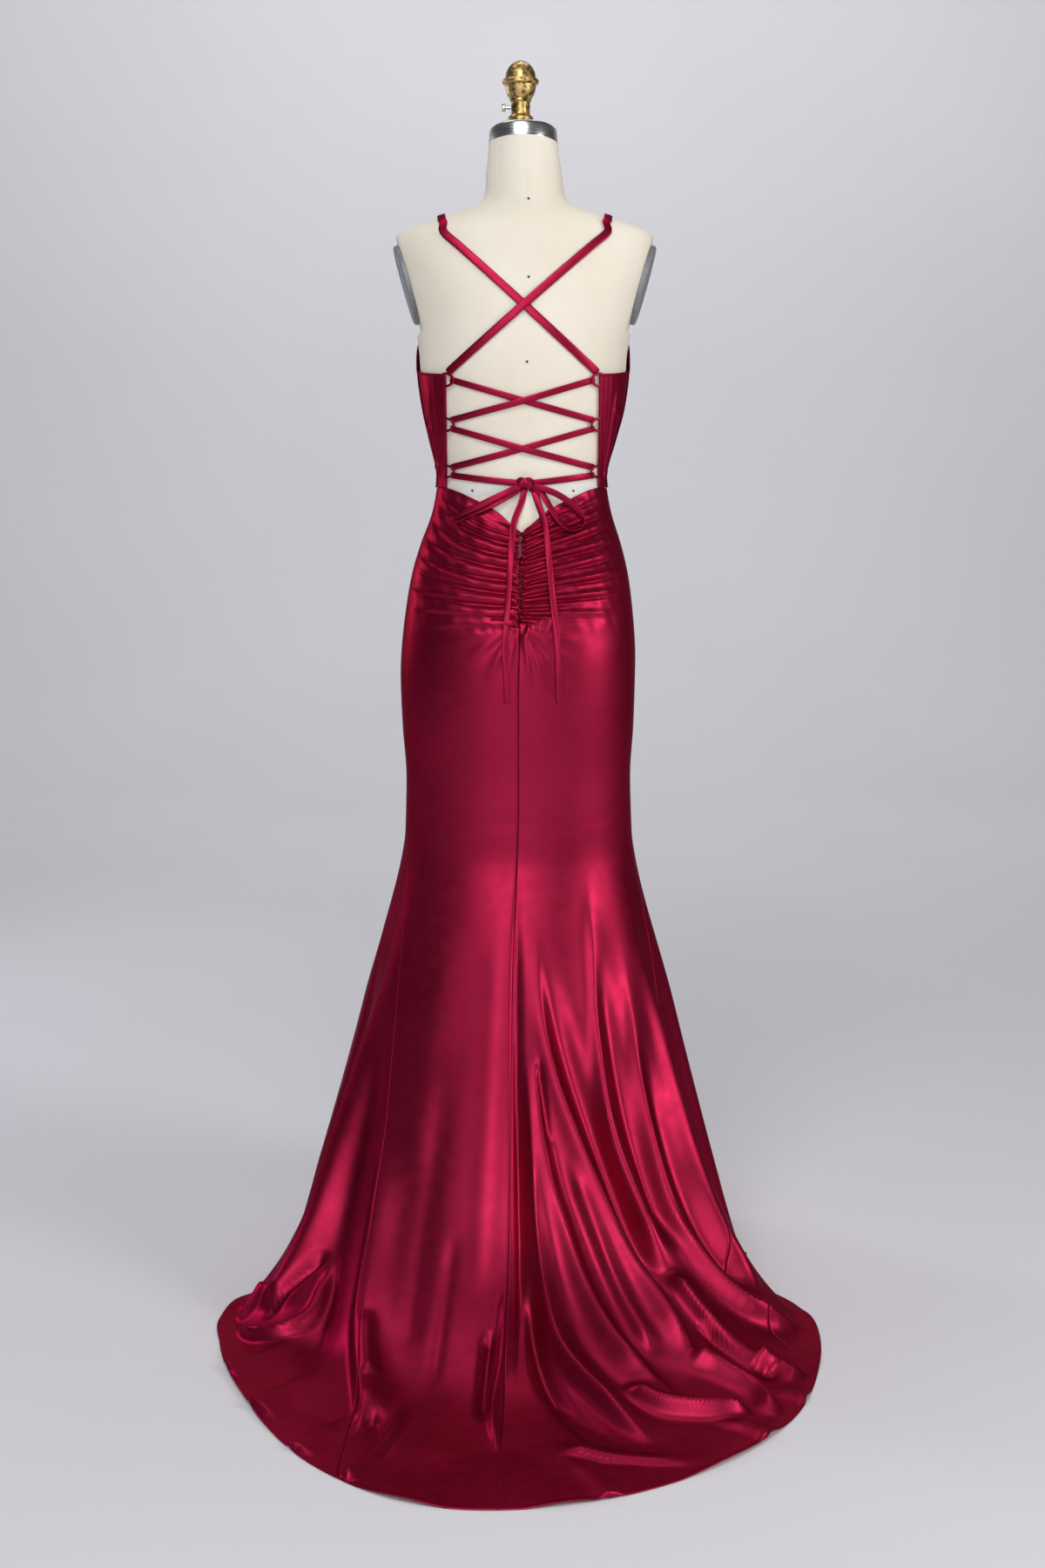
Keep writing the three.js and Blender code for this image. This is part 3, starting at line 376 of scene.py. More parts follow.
metalLooks = dict(
    gilding=dict(
        low=(0.16, 0.085, 0.025), high=(0.72, 0.50, 0.20), rough=(0.28, 0.5), scale=150, metallic=1.0,
        bump=0.35,
        stops=(0.36, 0.56),
    ),
    cap_steel=dict(
        low=(0.50, 0.50, 0.50), high=(0.72, 0.72, 0.71), rough=(0.2, 0.34), stretch=(1, 1, 60), scale=12,
        metallic=1.0, bump=0.1,
    ),
    screw_steel=dict(
        low=(0.55, 0.55, 0.54), high=(0.78, 0.78, 0.76), rough=(0.18, 0.3), stretch=(60, 1, 1), scale=14,
        metallic=1.0, bump=0.1,
    ),
    plate_paint=dict(
        low=(0.19, 0.205, 0.22), high=(0.24, 0.255, 0.27), rough=(0.4, 0.52), scale=260, metallic=0.2,
        bump=0.08,
    ),
    zip_metal=dict(
        low=(0.06, 0.008, 0.018), high=(0.11, 0.016, 0.032), rough=(0.4, 0.52), scale=300, metallic=0.6,
        bump=0.05,
    ),
    stand_paint=dict(
        low=(0.018, 0.018, 0.020), high=(0.035, 0.036, 0.040), rough=(0.35, 0.5), scale=350, metallic=0.1,
        bump=0.12,
    ),
    tape=dict(
        low=(0.74, 0.73, 0.70), high=(0.82, 0.81, 0.78), rough=(0.8, 0.9), scale=500, metallic=0.0, bump=0.15
    ),
)
looks = dict(satin=satinMaterial("satin", satinLook), canvas=canvasMaterial("canvas", canvasLook))
for name, look in metalLooks.items():
    looks[name] = metalMaterial(name, look)


# Builders of pieces

def finishPiece(name, bm, slot, body=mainBody, replaced=(), sharp=None, look=None):
    mesh = bpy.data.meshes.new(name)
    bm.to_mesh(mesh)
    bm.free()
    mesh.shade_smooth()
    if sharp is not None:
        mesh.set_sharp_from_angle(angle=math.radians(sharp))
    mesh.materials.append(looks[look or slot])
    piece = bpy.data.objects.new(name, mesh)
    scene.collection.objects.link(piece)
    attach(piece, body)
    if replaced:
        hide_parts(*replaced)
    return piece


# A grid whose points a function places, in millimetres: u runs round by rising angle and v runs down.
# Its UVs are metres of cloth.
def gridMesh(columns, rows, place, size):
    bm = bmesh.new()
    bmesh.ops.create_grid(bm, x_segments=columns, y_segments=rows, size=0.5)
    flat = np.array([vert.co[:2] for vert in bm.verts]) + 0.5
    points = place(flat[:, 0], flat[:, 1]) * mm
    for vert, point in zip(bm.verts, points):
        vert.co = point
    layer = bm.loops.layers.uv.new("cloth")
    for face in bm.faces:
        for loop in face.loops:
            u, v = flat[loop.vert.index]
            loop[layer].uv = (u * size[0], v * size[1])
    return bm


def closeMesh(bm, near=1e-6):
    bmesh.ops.remove_doubles(bm, verts=bm.verts, dist=near)
    bmesh.ops.recalc_face_normals(bm, faces=bm.faces)


def sheetPiece(name, columns, rows, place, size, replaced):
    piece = finishPiece(name, gridMesh(columns, rows, place, size), "satin", replaced=replaced)
    solid = piece.modifiers.new("wall", "SOLIDIFY")
    solid.thickness = cloth["wall"]
    solid.offset = -1
    return piece


# A soft flat tube along a line of points, with its width across and closed round ends
def ribbonPiece(name, line, across, outward, width, wall, replaced):
    around, count = 14, len(line)
    ends = np.array([0.0, 0.7, 0.93])
    index = np.concatenate([[0] * 3, np.arange(1, count - 1), [count - 1] * 3])
    nudge = np.zeros(len(index))
    nudge[:3], nudge[-3:] = [-0.9, -0.7, -0.3], [0.3, 0.7, 0.9]
    scale = np.ones(len(index))
    scale[:3], scale[-3:] = ends, ends[::-1]
    along = unit(np.gradient(line, axis=0))

    def place(u, v):
        row = np.rint(v * (len(index) - 1)).astype(int)
        turn = -2 * math.pi * u
        side = signedPower(np.cos(turn), 0.75) * width / 2 * scale[row]
        rise = signedPower(np.sin(turn), 0.8) * wall / 2 * scale[row]
        k = index[row]
        middle = line[k] + across[k] * side[:, None] + outward[k] * rise[:, None]
        return middle + along[k] * nudge[row][:, None]

    bm = gridMesh(around, len(index) - 1, place, (width * 2 * mm, count * 2 * mm))
    closeMesh(bm)
    return finishPiece(name, bm, "satin", replaced=replaced)


# The points and directions of a ribbon on the figure, from places (angle, z, lift off the form, tilt)
def ribbonOnFigure(places, count):
    angle, z, lift, tilt = smoothLine(places, count).T
    line = offFigure(z, angle, lift)
    outward = figureNormal(z, angle)
    along = unit(np.gradient(line, axis=0))
    across = unit(np.cross(along, outward))
    outward = np.cross(across, along)
    turn = np.radians(tilt)[:, None]
    c, s = np.cos(turn), np.sin(turn)
    return line, across * c + outward * s, outward * c - across * s


def byX(places):
    return [(float(angleAt(x, z)), z, lift, tilt) for x, z, lift, tilt in places]


def spunMesh(points, axis, steps, near=1e-6):
    bm = bmesh.new()
    verts = [bm.verts.new(point) for point in points]
    edges = [bm.edges.new(pair) for pair in zip(verts, verts[1:])]
    bmesh.ops.spin(
        bm, geom=verts + edges, cent=(0, 0, 0), axis=axis, angle=2 * math.pi, steps=steps, use_merge=True
    )
    closeMesh(bm, near)
    return bm


# The turn from upright to a direction
def turnTo(direction):
    return Vector((0, 0, 1)).rotation_difference(Vector(direction)).to_matrix().to_4x4()


# A turned piece from profile places (radius, height) in millimetres, on an upright axis at its own origin
def turnedPiece(name, profile, around, slot, place, turn=None, bevel=0.0, replaced=(), body=mainBody):
    bm = spunMesh([(r * mm, 0, z * mm) for r, z in profile], (0, 0, 1), around)
    if turn is not None:
        bmesh.ops.transform(bm, matrix=turn, verts=bm.verts)
    bmesh.ops.translate(bm, vec=Vector(place) * mm, verts=bm.verts)
    piece = finishPiece(name, bm, slot, body, replaced, sharp=40)
    if bevel:
        edge = piece.modifiers.new("edge", "BEVEL")
        edge.width = bevel * mm
        edge.segments = 3
        edge.limit_method = "ANGLE"
        edge.angle_limit = math.radians(35)
    return piece


# The bow's loops and hanging ends, as cords: their places are (x, height, lift off the form, tilt)
ribbon = dict(width=8.8, wall=1.8)
tailPlaces = dict(
    left=[
        (-3, 1086, 2.5, 0), (2, 1066, 5.2, 12), (11, 1040, 8.8, 18), (14, 1012, 9.0, 10),
        (16, 984, 9.0, -6), (18, 954, 9.0, -14), (20, 925, 8.8, -8), (22, 896, 7.0, 6), (23, 870, 5.0, 12),
        (21, 836, 4.8, 4), (20, 804, 4.8, 0),
    ],
    right=[
        (-14.5, 1085, 2.5, 0), (-21, 1064, 5.2, -14), (-28, 1040, 8.8, -22), (-32, 1010, 9.0, -10),
        (-35, 980, 9.0, 4), (-38, 950, 9.0, 10), (-41, 920, 8.8, 2), (-44, 890, 6.6, -10),
        (-46, 862, 5.0, -12), (-47.5, 834, 4.8, -4), (-48, 805, 4.8, 0),
    ],
)
bowPlaces = dict(
    left=[
        (4, 1089, 8.2, 0), (18, 1081, 12.4, 6), (34, 1072, 14, 8), (52, 1062, 14, 6), (70, 1053, 14, 0),
        (83, 1046, 13.2, -10), (88, 1042, 11.4, -10), (83, 1042, 9.4, 0), (70, 1049, 9.8, 6),
        (52, 1057, 10, 4), (34, 1066, 9.8, 0), (18, 1076, 7.4, 0), (6, 1084, 5, 0),
    ],
    right=[
        (-14, 1089, 8.2, 0), (-24, 1086, 11.4, -10), (-38, 1080, 13, -18), (-52, 1071, 13.4, -26),
        (-65, 1059, 13, -40), (-75, 1045, 12, -64), (-76, 1036, 11.4, -84), (-69, 1029, 11, -60),
        (-58, 1031, 10.6, -30), (-47, 1041, 10.4, -18), (-38, 1055, 10, -12), (-30, 1070, 8, -8),
        (-24, 1081, 6, 0), (-17, 1087, 4.2, 0),
    ],
)


def freeRibbon(name, places, count, node):
    line, across, outward = ribbonOnFigure(byX(places), count)
    piece = ribbonPiece(name, line, across, outward, ribbon["width"], ribbon["wall"], [node])


for side in ("left", "right"):
    freeRibbon(f"tail_ribbon_{side}", tailPlaces[side], 70, f"tail_{side}")
    freeRibbon(f"bow_loop_{side}", bowPlaces[side], 80, f"bow_{side}")
print("cords made")


# The skirt: the folds of its flare, as routes of (angle, level)

flareFolds = [
    # the wearer's left, seen at the left of the back view
    fold([(74, -0.22), (64, -0.45), (54, -0.62), (51, -0.76), (49, -0.84)], (28, 24), (6, 24)),
    fold([(58, -0.26), (51, -0.46), (44, -0.62), (36, -0.75), (28, -0.88)], (20, 34), (-8, -20), crest=1.7),
    fold([(43, -0.66), (39, -0.74), (40, -0.81), (45, -0.88), (53, -0.95)], (9, 9), (14, 17), skew=0.3),
    fold([(45, -0.66), (47, -0.73), (48, -0.8), (49, -0.86)], (7, 6), (-13, -8)),
    fold([(57, -0.8), (56, -0.86), (56, -0.94)], (7, 6), (12, 13), skew=-0.3),
    fold([(41.5, -1), (40, -0.92), (38, -0.8)], (17, 22), (8, 6), skew=0.62, fade=(0.01, 0.6)),
    fold([(31.5, -1), (30, -0.91), (27, -0.78)], (20, 26), (9, 6), skew=0.62, fade=(0.01, 0.6)),
    fold([(22.5, -1), (21, -0.92), (17.5, -0.84)], (18, 22), (9, 7), skew=0.62, fade=(0.01, 0.6)),
    fold([(40, -0.4), (34, -0.55), (28, -0.69), (23, -0.77), (19, -0.83), (16.5, -0.89)], (20, 20), (7, 26),
         skew=-0.5),
    fold([(25, -0.69), (21, -0.76), (18.5, -0.8)], (9, 9), (7, 9), skew=0.3),
    fold([(13.5, -0.8), (13.3, -0.87), (14, -0.93), (15.4, -1)], (8, 7), (12, 12), crest=1.6,
         fade=(0.3, 0.05)),
    fold([(17, -0.84), (16, -0.9), (16.5, -0.98)], (9, 8), (-9, -6)),
    fold([(22, -0.3), (20, -0.52), (18, -0.64), (16, -0.73)], (16, 14), (-2, -3)),
    fold([(13, -0.52), (12, -0.66), (11, -0.77)], (10, 8), (-1.5, -2.5)),
    fold([(30, -0.12), (29, -0.32), (26, -0.5)], (26, 26), (2, 3)),
    fold([(9, -0.74), (10, -0.84), (11, -0.95)], (26, 34), (3, 3), fade=(0.5, 0.3)),
    # beside the seam at the middle of the back
    fold([(0.4, -0.05), (0.6, -0.26), (0.2, -0.45), (0, -0.6), (0.4, -0.76)], (5, 8), (-4, -13), skew=-0.3,
         crest=1.6),
    fold([(4.2, -0.66), (4.4, -0.73), (4.2, -0.82)], (8, 9), (-10, -9)),
    fold([(2.2, -0.58), (2.5, -0.71), (3.2, -0.79), (2.3, -0.88)], (5, 6), (8, 10), crest=1.6),
    fold([(6, -0.08), (6.5, -0.4), (6, -0.64)], (17, 20), (2, 3)),
    # the wearer's right: long sweeps down to the train
    fold([(-2, -0.28), (-2.6, -0.46), (-3.4, -0.58), (-5, -0.69), (-9, -0.79), (-14, -0.92)], (10, 16),
         (8, 29), skew=-0.45, crest=1.7),
    fold([(-1.5, -0.58), (-2.3, -0.7), (-5, -0.8), (-9.5, -0.9)], (10, 12), (-12, -17)),
    fold([(-3.4, -0.26), (-6, -0.43), (-9, -0.53), (-11.5, -0.63), (-14.5, -0.73), (-20, -0.87)], (11, 17),
         (8, 27), skew=0.38, crest=1.7),
    fold([(-5, -0.12), (-8.5, -0.29), (-14, -0.4), (-18.5, -0.5), (-22, -0.61), (-24, -0.72), (-25, -0.83)],
         (12, 18), (9, 31), skew=0.4, crest=1.7),
    fold([(-8, -0.16), (-16, -0.34), (-21, -0.45), (-24, -0.56), (-27, -0.68)], (16, 19), (-10, -23)),
    fold([(-5, -0.3), (-6, -0.36), (-7, -0.42)], (4, 4), (-6, -6)),
    fold([(-11, -0.42), (-15, -0.54), (-17.5, -0.66), (-19.5, -0.76)], (9, 12), (6, 13), skew=-0.2),
    fold([(-34, -0.06), (-27, -0.26), (-24, -0.4), (-26.5, -0.52), (-29, -0.64)], (14, 17), (7, 21),
         skew=-0.35, crest=1.7),
    fold([(-31, -0.14), (-30.5, -0.34), (-32, -0.48), (-33.5, -0.62)], (15, 19), (-7, -20)),
    fold([(-49, -0.16), (-40, -0.36), (-36, -0.5), (-36.5, -0.62), (-39.5, -0.73), (-44, -0.82), (-54, -0.95)],
         (15, 19), (8, 32), skew=-0.35, crest=1.7),
    fold([(-44, -0.28), (-43, -0.5), (-45, -0.66), (-50, -0.78)], (16, 20), (-8, -20)),
    fold([(-62, -0.18), (-57, -0.4), (-52, -0.56), (-49.5, -0.68), (-52, -0.82)], (16, 17), (6, 23)),
    fold([(-28.5, -0.63), (-30, -0.71), (-31.5, -0.79), (-34, -0.89)], (12, 14), (18, 24), skew=-0.35,
         crest=1.7, fade=(0.15, 0.12)),
    fold([(-25, -0.77), (-27.5, -0.83), (-29.5, -0.9), (-28.5, -0.98)], (12, 12), (22, 17), skew=0.35,
         crest=1.7, fade=(0.15, 0.15)),
    fold([(-29, -0.73), (-32, -0.82), (-35, -0.92)], (9, 11), (-12, -10)),
    fold([(-12.5, -0.78), (-16, -0.84), (-21, -0.89), (-26.5, -0.935)], (14, 13), (20, 21), skew=-0.4,
         crest=1.7, fade=(0.2, 0.15)),
    fold([(-34, -0.84), (-37, -0.9), (-38, -0.98)], (12, 13), (17, 12), skew=0.35),
    fold([(-3, -0.88), (-9, -0.92), (-17, -0.985)], (15, 15), (10, 8), skew=-0.6, fade=(0.25, 0.3)),
    fold([(-44.5, -1), (-42.5, -0.93), (-40, -0.84)], (17, 20), (8, 6), skew=-0.62, fade=(0.01, 0.6)),
    fold([(-24.5, -1), (-23, -0.95), (-20, -0.89)], (16, 18), (8, 6), skew=0.6, fade=(0.01, 0.5)),
    fold([(-7, -1), (-5.4, -0.94), (-3.6, -0.88)], (15, 17), (7, 6), skew=0.6, fade=(0.01, 0.5)),
    fold([(-33.5, -1), (-32.5, -0.95), (-31, -0.9)], (14, 16), (8, 5), skew=0.6, fade=(0.01, 0.5)),
    # the sides and the front, which the photograph hides
    fold([(84, -0.2), (86, -0.55), (84, -0.98)], (22, 26), (-5, -14), fade=(0.3, 0.02)),
    fold([(101, -0.16), (104, -0.55), (102, -1)], (20, 27), (5, 17), fade=(0.3, 0.02)),
    fold([(117, -0.26), (121, -0.6), (120, -1)], (16, 20), (-4, -12), fade=(0.3, 0.02)),
    fold([(131, -0.12), (134, -0.55), (137, -1)], (22, 26), (5, 18), skew=0.2, fade=(0.3, 0.02)),
    fold([(150, -0.2), (152, -0.6), (150, -1)], (18, 24), (-4, -11), fade=(0.3, 0.02)),
    fold([(168, -0.08), (166, -0.5), (169, -1)], (20, 24), (4, 15), skew=-0.2, fade=(0.3, 0.02)),
    fold([(183, -0.24), (186, -0.6), (184, -1)], (16, 20), (-4, -10), fade=(0.3, 0.02)),
    fold([(198, -0.14), (201, -0.55), (203, -1)], (20, 26), (5, 17), fade=(0.3, 0.02)),
    fold([(219, -0.2), (221, -0.6), (220, -1)], (17, 22), (-4, -12), fade=(0.3, 0.02)),
    fold([(236, -0.1), (238, -0.55), (236, -1)], (22, 28), (5, 18), skew=-0.2, fade=(0.3, 0.02)),
    fold([(257, -0.24), (259, -0.6), (262, -1)], (18, 24), (-5, -13), fade=(0.3, 0.02)),
    fold([(274, -0.14), (276, -0.55), (279, -1)], (20, 24), (5, 15), fade=(0.3, 0.02)),
]

# The gathers on each side of the middle seam: where each starts at the seam, the angle it reaches, its rise
# there and its height. foot is a gather's width at the seam, and under is how far below it its crease lies.
gathers = dict(
    left=dict(
        seam=[0.872, 0.846, 0.812, 0.777, 0.742, 0.705, 0.668, 0.634, 0.606],
        reach=[70, 82, 86, 84, 88, 82, 84, 70, 58],
        rise=[0.150, 0.168, 0.150, 0.126, 0.108, 0.094, 0.062, 0.026, -0.006],
        height=[3.4, 4.6, 5.2, 5.4, 4.8, 5.6, 5.2, 4.8, 4.4],
        bend=1.25, foot=5.6, under=0.0172,
    ),
    right=dict(
        seam=[0.872, 0.854, 0.837, 0.820, 0.803, 0.786, 0.769, 0.752, 0.735, 0.718, 0.701, 0.684, 0.667, 0.650,
              0.632, 0.612],
        reach=[70, 26, 84, 22, 80, 30, 82, 24, 74, 30, 78, 26, 66, 30, 60, 34],
        rise=[0.128, 0.070, 0.122, 0.062, 0.112, 0.064, 0.098, 0.052, 0.082, 0.048, 0.062, 0.034, 0.032, 0.010,
              -0.004, -0.024],
        height=[4.0, 4.4, 6.0, 4.6, 6.2, 4.8, 6.4, 4.8, 6.0, 4.6, 6.4, 4.8, 6.0, 4.4, 5.6, 4.2],
        bend=0.72, foot=3.4, under=0.0088,
    ),
)
# Creases that fan down and out from the foot of the gathers
rays = [
    fold([(2, 0.6), (16, 0.572), (40, 0.535)], (4, 9), (3.4, 2.2), fade=(0.03, 0.5)),
    fold([(2, 0.59), (12, 0.545), (25, 0.48)], (4, 9), (3.2, 2), fade=(0.03, 0.5)),
    fold([(1.5, 0.582), (7, 0.51), (13, 0.41)], (3.4, 8), (2.8, 1.5), fade=(0.03, 0.5)),
    fold([(1, 0.575), (2.6, 0.5), (3.2, 0.42)], (2.6, 5), (2.2, 0.9), fade=(0.03, 0.5)),
    fold([(-2, 0.595), (-14, 0.562), (-36, 0.545)], (4, 9), (3.8, 2.2), fade=(0.03, 0.5)),
    fold([(-2, 0.585), (-11, 0.54), (-24, 0.48)], (4, 9), (3.8, 2.2), fade=(0.03, 0.5)),
    fold([(-1.5, 0.578), (-7, 0.49), (-12, 0.39)], (3.4, 9), (3, 1.7), fade=(0.03, 0.5)),
    fold([(-1, 0.572), (-3, 0.49), (-4.4, 0.39)], (2.6, 6), (2.4, 1), fade=(0.03, 0.5)),
]


crinkles = dict(count=26, top=0.868, pitch=0.0104, height=1.9, reach=7)  # small, close to the seam


# Each gather is a soft ridge that widens away from the seam, with a narrow crease under it
def gatherFolds(rows, side):
    folds = []
    for start, reach, rise, height in zip(rows["seam"], rows["reach"], rows["rise"], rows["height"]):
        far = reach > 40
        shares = (0.008, 0.1, 0.25, 0.5, 0.75, 1)
        route = [(side * share * reach, start + rise * share ** rows["bend"]) for share in shares]
        wide, drift = (10, 0.012) if far else (5.4, 0.005)
        widths, heights = (rows["foot"], wide), (height, height * 0.62)
        folds.append(fold(route, widths, heights, fade=(0.015, 0.45), crest=1.8, skew=-0.25 * side))
        dip = [(angle, place - rows["under"] - drift * abs(angle) / 88) for angle, place in route]
        depth = height * 0.95
        folds.append(fold(dip, (1.7, 2.9), (-depth, -depth * 0.6), fade=(0.02, 0.4), crest=1.5))
    for i in range(crinkles["count"]):
        place = crinkles["top"] - i * crinkles["pitch"]
        high = crinkles["height"] * (1 + 0.4 * math.sin(2.3 * i + side))
        reach = crinkles["reach"] * (1 + 0.4 * math.sin(1.7 * i + 2 * side))
        route = [(side * 0.4, place), (side * reach / 2, place + 0.006), (side * reach, place + 0.014)]
        folds.append(fold(route, (1.5, 2.2), (high, high / 2), fade=(0.02, 0.6)))
    return folds


# Slack between the gathers: shallow uneven lumps, deepest near the middle seam
def gatherLumps(angle, level):
    spread = smoothStep(level, 0.53, 0.62) * (1 - smoothStep(np.abs(angle), 34, 74))
    first = np.sin(0.21 * angle + 47 * level + 1.3) * np.sin(0.13 * angle - 31 * level)
    second = np.sin(0.37 * angle - 83 * level + 0.6) * np.sin(0.29 * angle + 19 * level + 2)
    return spread * (0.9 * first + 0.5 * second + 0.5)


panels = dict(
    left=dict(columns=96, rows=400, gathered=0.40, hugging=0.56),
    right=dict(columns=118, rows=400, gathered=0.36, hugging=0.5),
    front=dict(columns=262, rows=176, gathered=0.0, hugging=0.2),
    gatherSpan=(127, 195),  # from the top edge to the foot of the gathers, at the middle seam and at the side
    hemEase=1.2,  # above 1, the rows lie closer together towards the hem
    groove=dict(depth=0.35, half=1.8),  # along each seam
    hem=dict(flare=900, lip=0.5, lipFrom=4, lipTo=6, dent=-0.35, place=7, half=1.5),
    floorGap=1.3,  # from the floor to the lowest cloth's upper face
)


# Along a panel's length: the level of each row, from the top edge to the hem
def levelAt(v, share, size):
    top = readRows(topEdgeRows, "angle", share * hugSide, "z") if size["gathered"] else waist
    span = mixed(*panels["gatherSpan"], share) if size["gathered"] else 0
    gatherShare = max(size["gathered"], 1e-6)
    z = top - span * np.clip(v / gatherShare, 0, 1)
    down = np.clip((v - size["gathered"]) / (size["hugging"] - size["gathered"]), 0, 1)
    high = mixed((z - knee) / (waist - knee), 0, down)
    t = np.clip((v - size["hugging"]) / (1 - size["hugging"]), 0, 1)
    along = 1 - (1 - t) ** panels["hemEase"]
    return np.where(v <= size["hugging"], high, -along)


# Low waves all over the skirt, and the train's cloth rising a little off the floor in places
def broadWaves(angle, level):
    a, down = np.radians(angle), np.clip(-level, 0, 1)
    slow = np.sin(3 * a + 4.1 * level + 0.8) + 0.7 * np.sin(6 * a - 3.0 * level + 2.1)
    train = (0.5 + 0.5 * np.sin(17 * a + 2.2 * np.sin(5 * a) + 3 * level)) ** 2 * smoothStep(down, 0.74, 0.92)
    return slow * (0.5 + 2.2 * down * (1 - smoothStep(down, 0.7, 1))) + 5.0 * train


# One panel of the skirt. Its angles at each point come from a function of (share across, level).
def skirtPanel(name, size, angleOf, shareOf, folds, cut):
    groove, hem = panels["groove"], panels["hem"]

    def place(u, v):
        level = levelAt(v, shareOf(u), size)
        angle = angleOf(u, level)
        points, normals = skirtPoint(angle, level), skirtNormal(angle, level)
        lift = foldLift(points, normals, folds, skirtPoint)
        lift = lift + broadWaves(angle, level) + gatherLumps(angle, level)
        near = np.clip(level, 0, 1)
        lift = np.where(level > 0.36, np.maximum(lift, -1.0 + 0.5 * near), lift)
        edge = np.minimum(u, 1 - u)
        span = np.radians(np.abs(angleOf(1.0, level) - angleOf(0.0, level)))
        width = np.hypot(points[:, 0], points[:, 1]) * span
        lift = lift - groove["depth"] * np.exp(-((edge * width / groove["half"]) ** 2))
        up = np.clip((1 + level) * hem["flare"], 0, 100)
        dent = hem["dent"] * np.exp(-(((up - hem["place"]) / hem["half"]) ** 2))
        lift = lift + hem["lip"] * (1 - smoothStep(up, hem["lipFrom"], hem["lipTo"])) + dent
        moved = points + normals * lift[:, None]
        across = unit(skirtPoint(angle + 0.5, level) - skirtPoint(angle - 0.5, level))
        inset = np.where(u < 1e-6, 1.0, np.where(u > 1 - 1e-6, -1.0, 0.0)) * cloth["seamGap"] / mm / 2
        moved = moved + across * inset[:, None]
        moved[:, 2] = np.maximum(moved[:, 2], panels["floorGap"])
        return moved

    return sheetPiece(name, size["columns"], size["rows"], place, cut["size"], [cut["node"]])


def seamAngle(column, level):
    along = np.clip(-np.asarray(level, float), 0, 1)
    return readRows(seamRows, "along", along, column)


# The columns of a back panel lie closer together near the middle seam, where the gathers are
def backShare(u):
    return u * (0.6 + 0.4 * u)


def leftAngle(u, level):
    return mixed(seamAngle("middle", level), seamAngle("left", level), backShare(u))


def rightAngle(u, level):
    return mixed(seamAngle("middle", level), -seamAngle("right", level), backShare(1 - u))


# The front's columns lie closer together near the side seams, where the train's folds are
def frontAngle(u, level):
    share = u - 0.118 * np.sin(2 * math.pi * u)
    return mixed(seamAngle("left", level), 360 - seamAngle("right", level), share)


skirtCuts = dict(
    left=dict(node="skirt_back_left", size=(0.24, 1.45)),
    right=dict(node="skirt_back_right", size=(0.5, 1.45)),
    front=dict(node="skirt_front", size=(2.2, 1.2)),
)
skirtLeft = skirtPanel(
    "gown_skirt_back_left", panels["left"], leftAngle, backShare,
    [*flareFolds, *gatherFolds(gathers["left"], 1), *rays], skirtCuts["left"],
)
skirtRight = skirtPanel(
    "gown_skirt_back_right", panels["right"], rightAngle, lambda u: backShare(1 - u),
    [*flareFolds, *gatherFolds(gathers["right"], -1), *rays], skirtCuts["right"],
)
print("skirt backs made")
skirtFront = skirtPanel(
    "gown_skirt_front", panels["front"], frontAngle, lambda u: np.zeros_like(u), flareFolds,
    skirtCuts["front"],
)
print("skirt front made")


# The bodice: its front over the bust, and two panels at the back that end at the lacing edges

bodice = dict(
    bottom=waist + 0.6, backInner=1237, backSide=1244, edge=100, placket=0.28, columns=130, rows=90,
    backWidth=52, backHeight=175, sideGap=0.12,
)
rolledHem = dict(lip=0.5, lipFrom=2.5, lipTo=4, dent=0.3, place=5, half=1.2)
cup = dict(
    height=1215, up=26, aside=60, across=30, gather=1.0,
    dart=1.2, dartHalf=2.2, dartLow=96, dartHigh=80, dartEnd=(1175, 1205),
)
backFolds = dict(
    left=[
        fold([(0.44, 0.98), (0.4, 0.7), (0.48, 0.4), (0.44, 0.1)], (5, 4), (2.4, 1.4), skew=0.3),
        fold([(0.7, 0.96), (0.74, 0.62), (0.66, 0.3)], (6, 5), (2.6, 1.6), skew=-0.3),
        fold([(0.3, 0.9), (0.6, 0.8), (0.98, 0.84)], (4, 5), (1.8, 1.4)),
        fold([(0.34, 0.55), (0.6, 0.48), (0.96, 0.55)], (3.5, 5), (1.4, 1)),
    ],
    right=[
        fold([(0.42, 0.98), (0.46, 0.66), (0.4, 0.36), (0.46, 0.08)], (5, 4), (2.2, 1.6), skew=0.3),
        fold([(0.72, 0.97), (0.66, 0.6), (0.74, 0.24)], (6, 5), (2.8, 1.4), skew=-0.3),
        fold([(0.3, 0.86), (0.62, 0.9), (0.98, 0.8)], (4, 5), (1.7, 1.4)),
        fold([(0.34, 0.3), (0.64, 0.36), (0.96, 0.28)], (3.5, 5), (1.4, 1)),
    ],
)


def rolledEdge(distance):
    dent = rolledHem["dent"] * np.exp(-(((distance - rolledHem["place"]) / rolledHem["half"]) ** 2))
    return rolledHem["lip"] * (1 - smoothStep(distance, rolledHem["lipFrom"], rolledHem["lipTo"])) - dent


# A place of a back panel: 0 at the lacing edge and 1 at the side seam, 0 at the top and 1 at the waist
def backPlace(side, lift):
    def surface(across, down):
        across, down = np.asarray(across, float), np.asarray(down, float)
        top = mixed(bodice["backInner"], bodice["backSide"], np.clip(across, 0, 1) ** 1.6)
        z = mixed(top, bodice["bottom"], down)
        inner = np.abs(angleAt(side * bodice["edge"], z))
        angle = side * mixed(inner, hugSide - bodice["sideGap"], across)
        return figurePoint(z, angle) + figureNormal(z, angle) * lift, figureNormal(z, angle)

    return surface


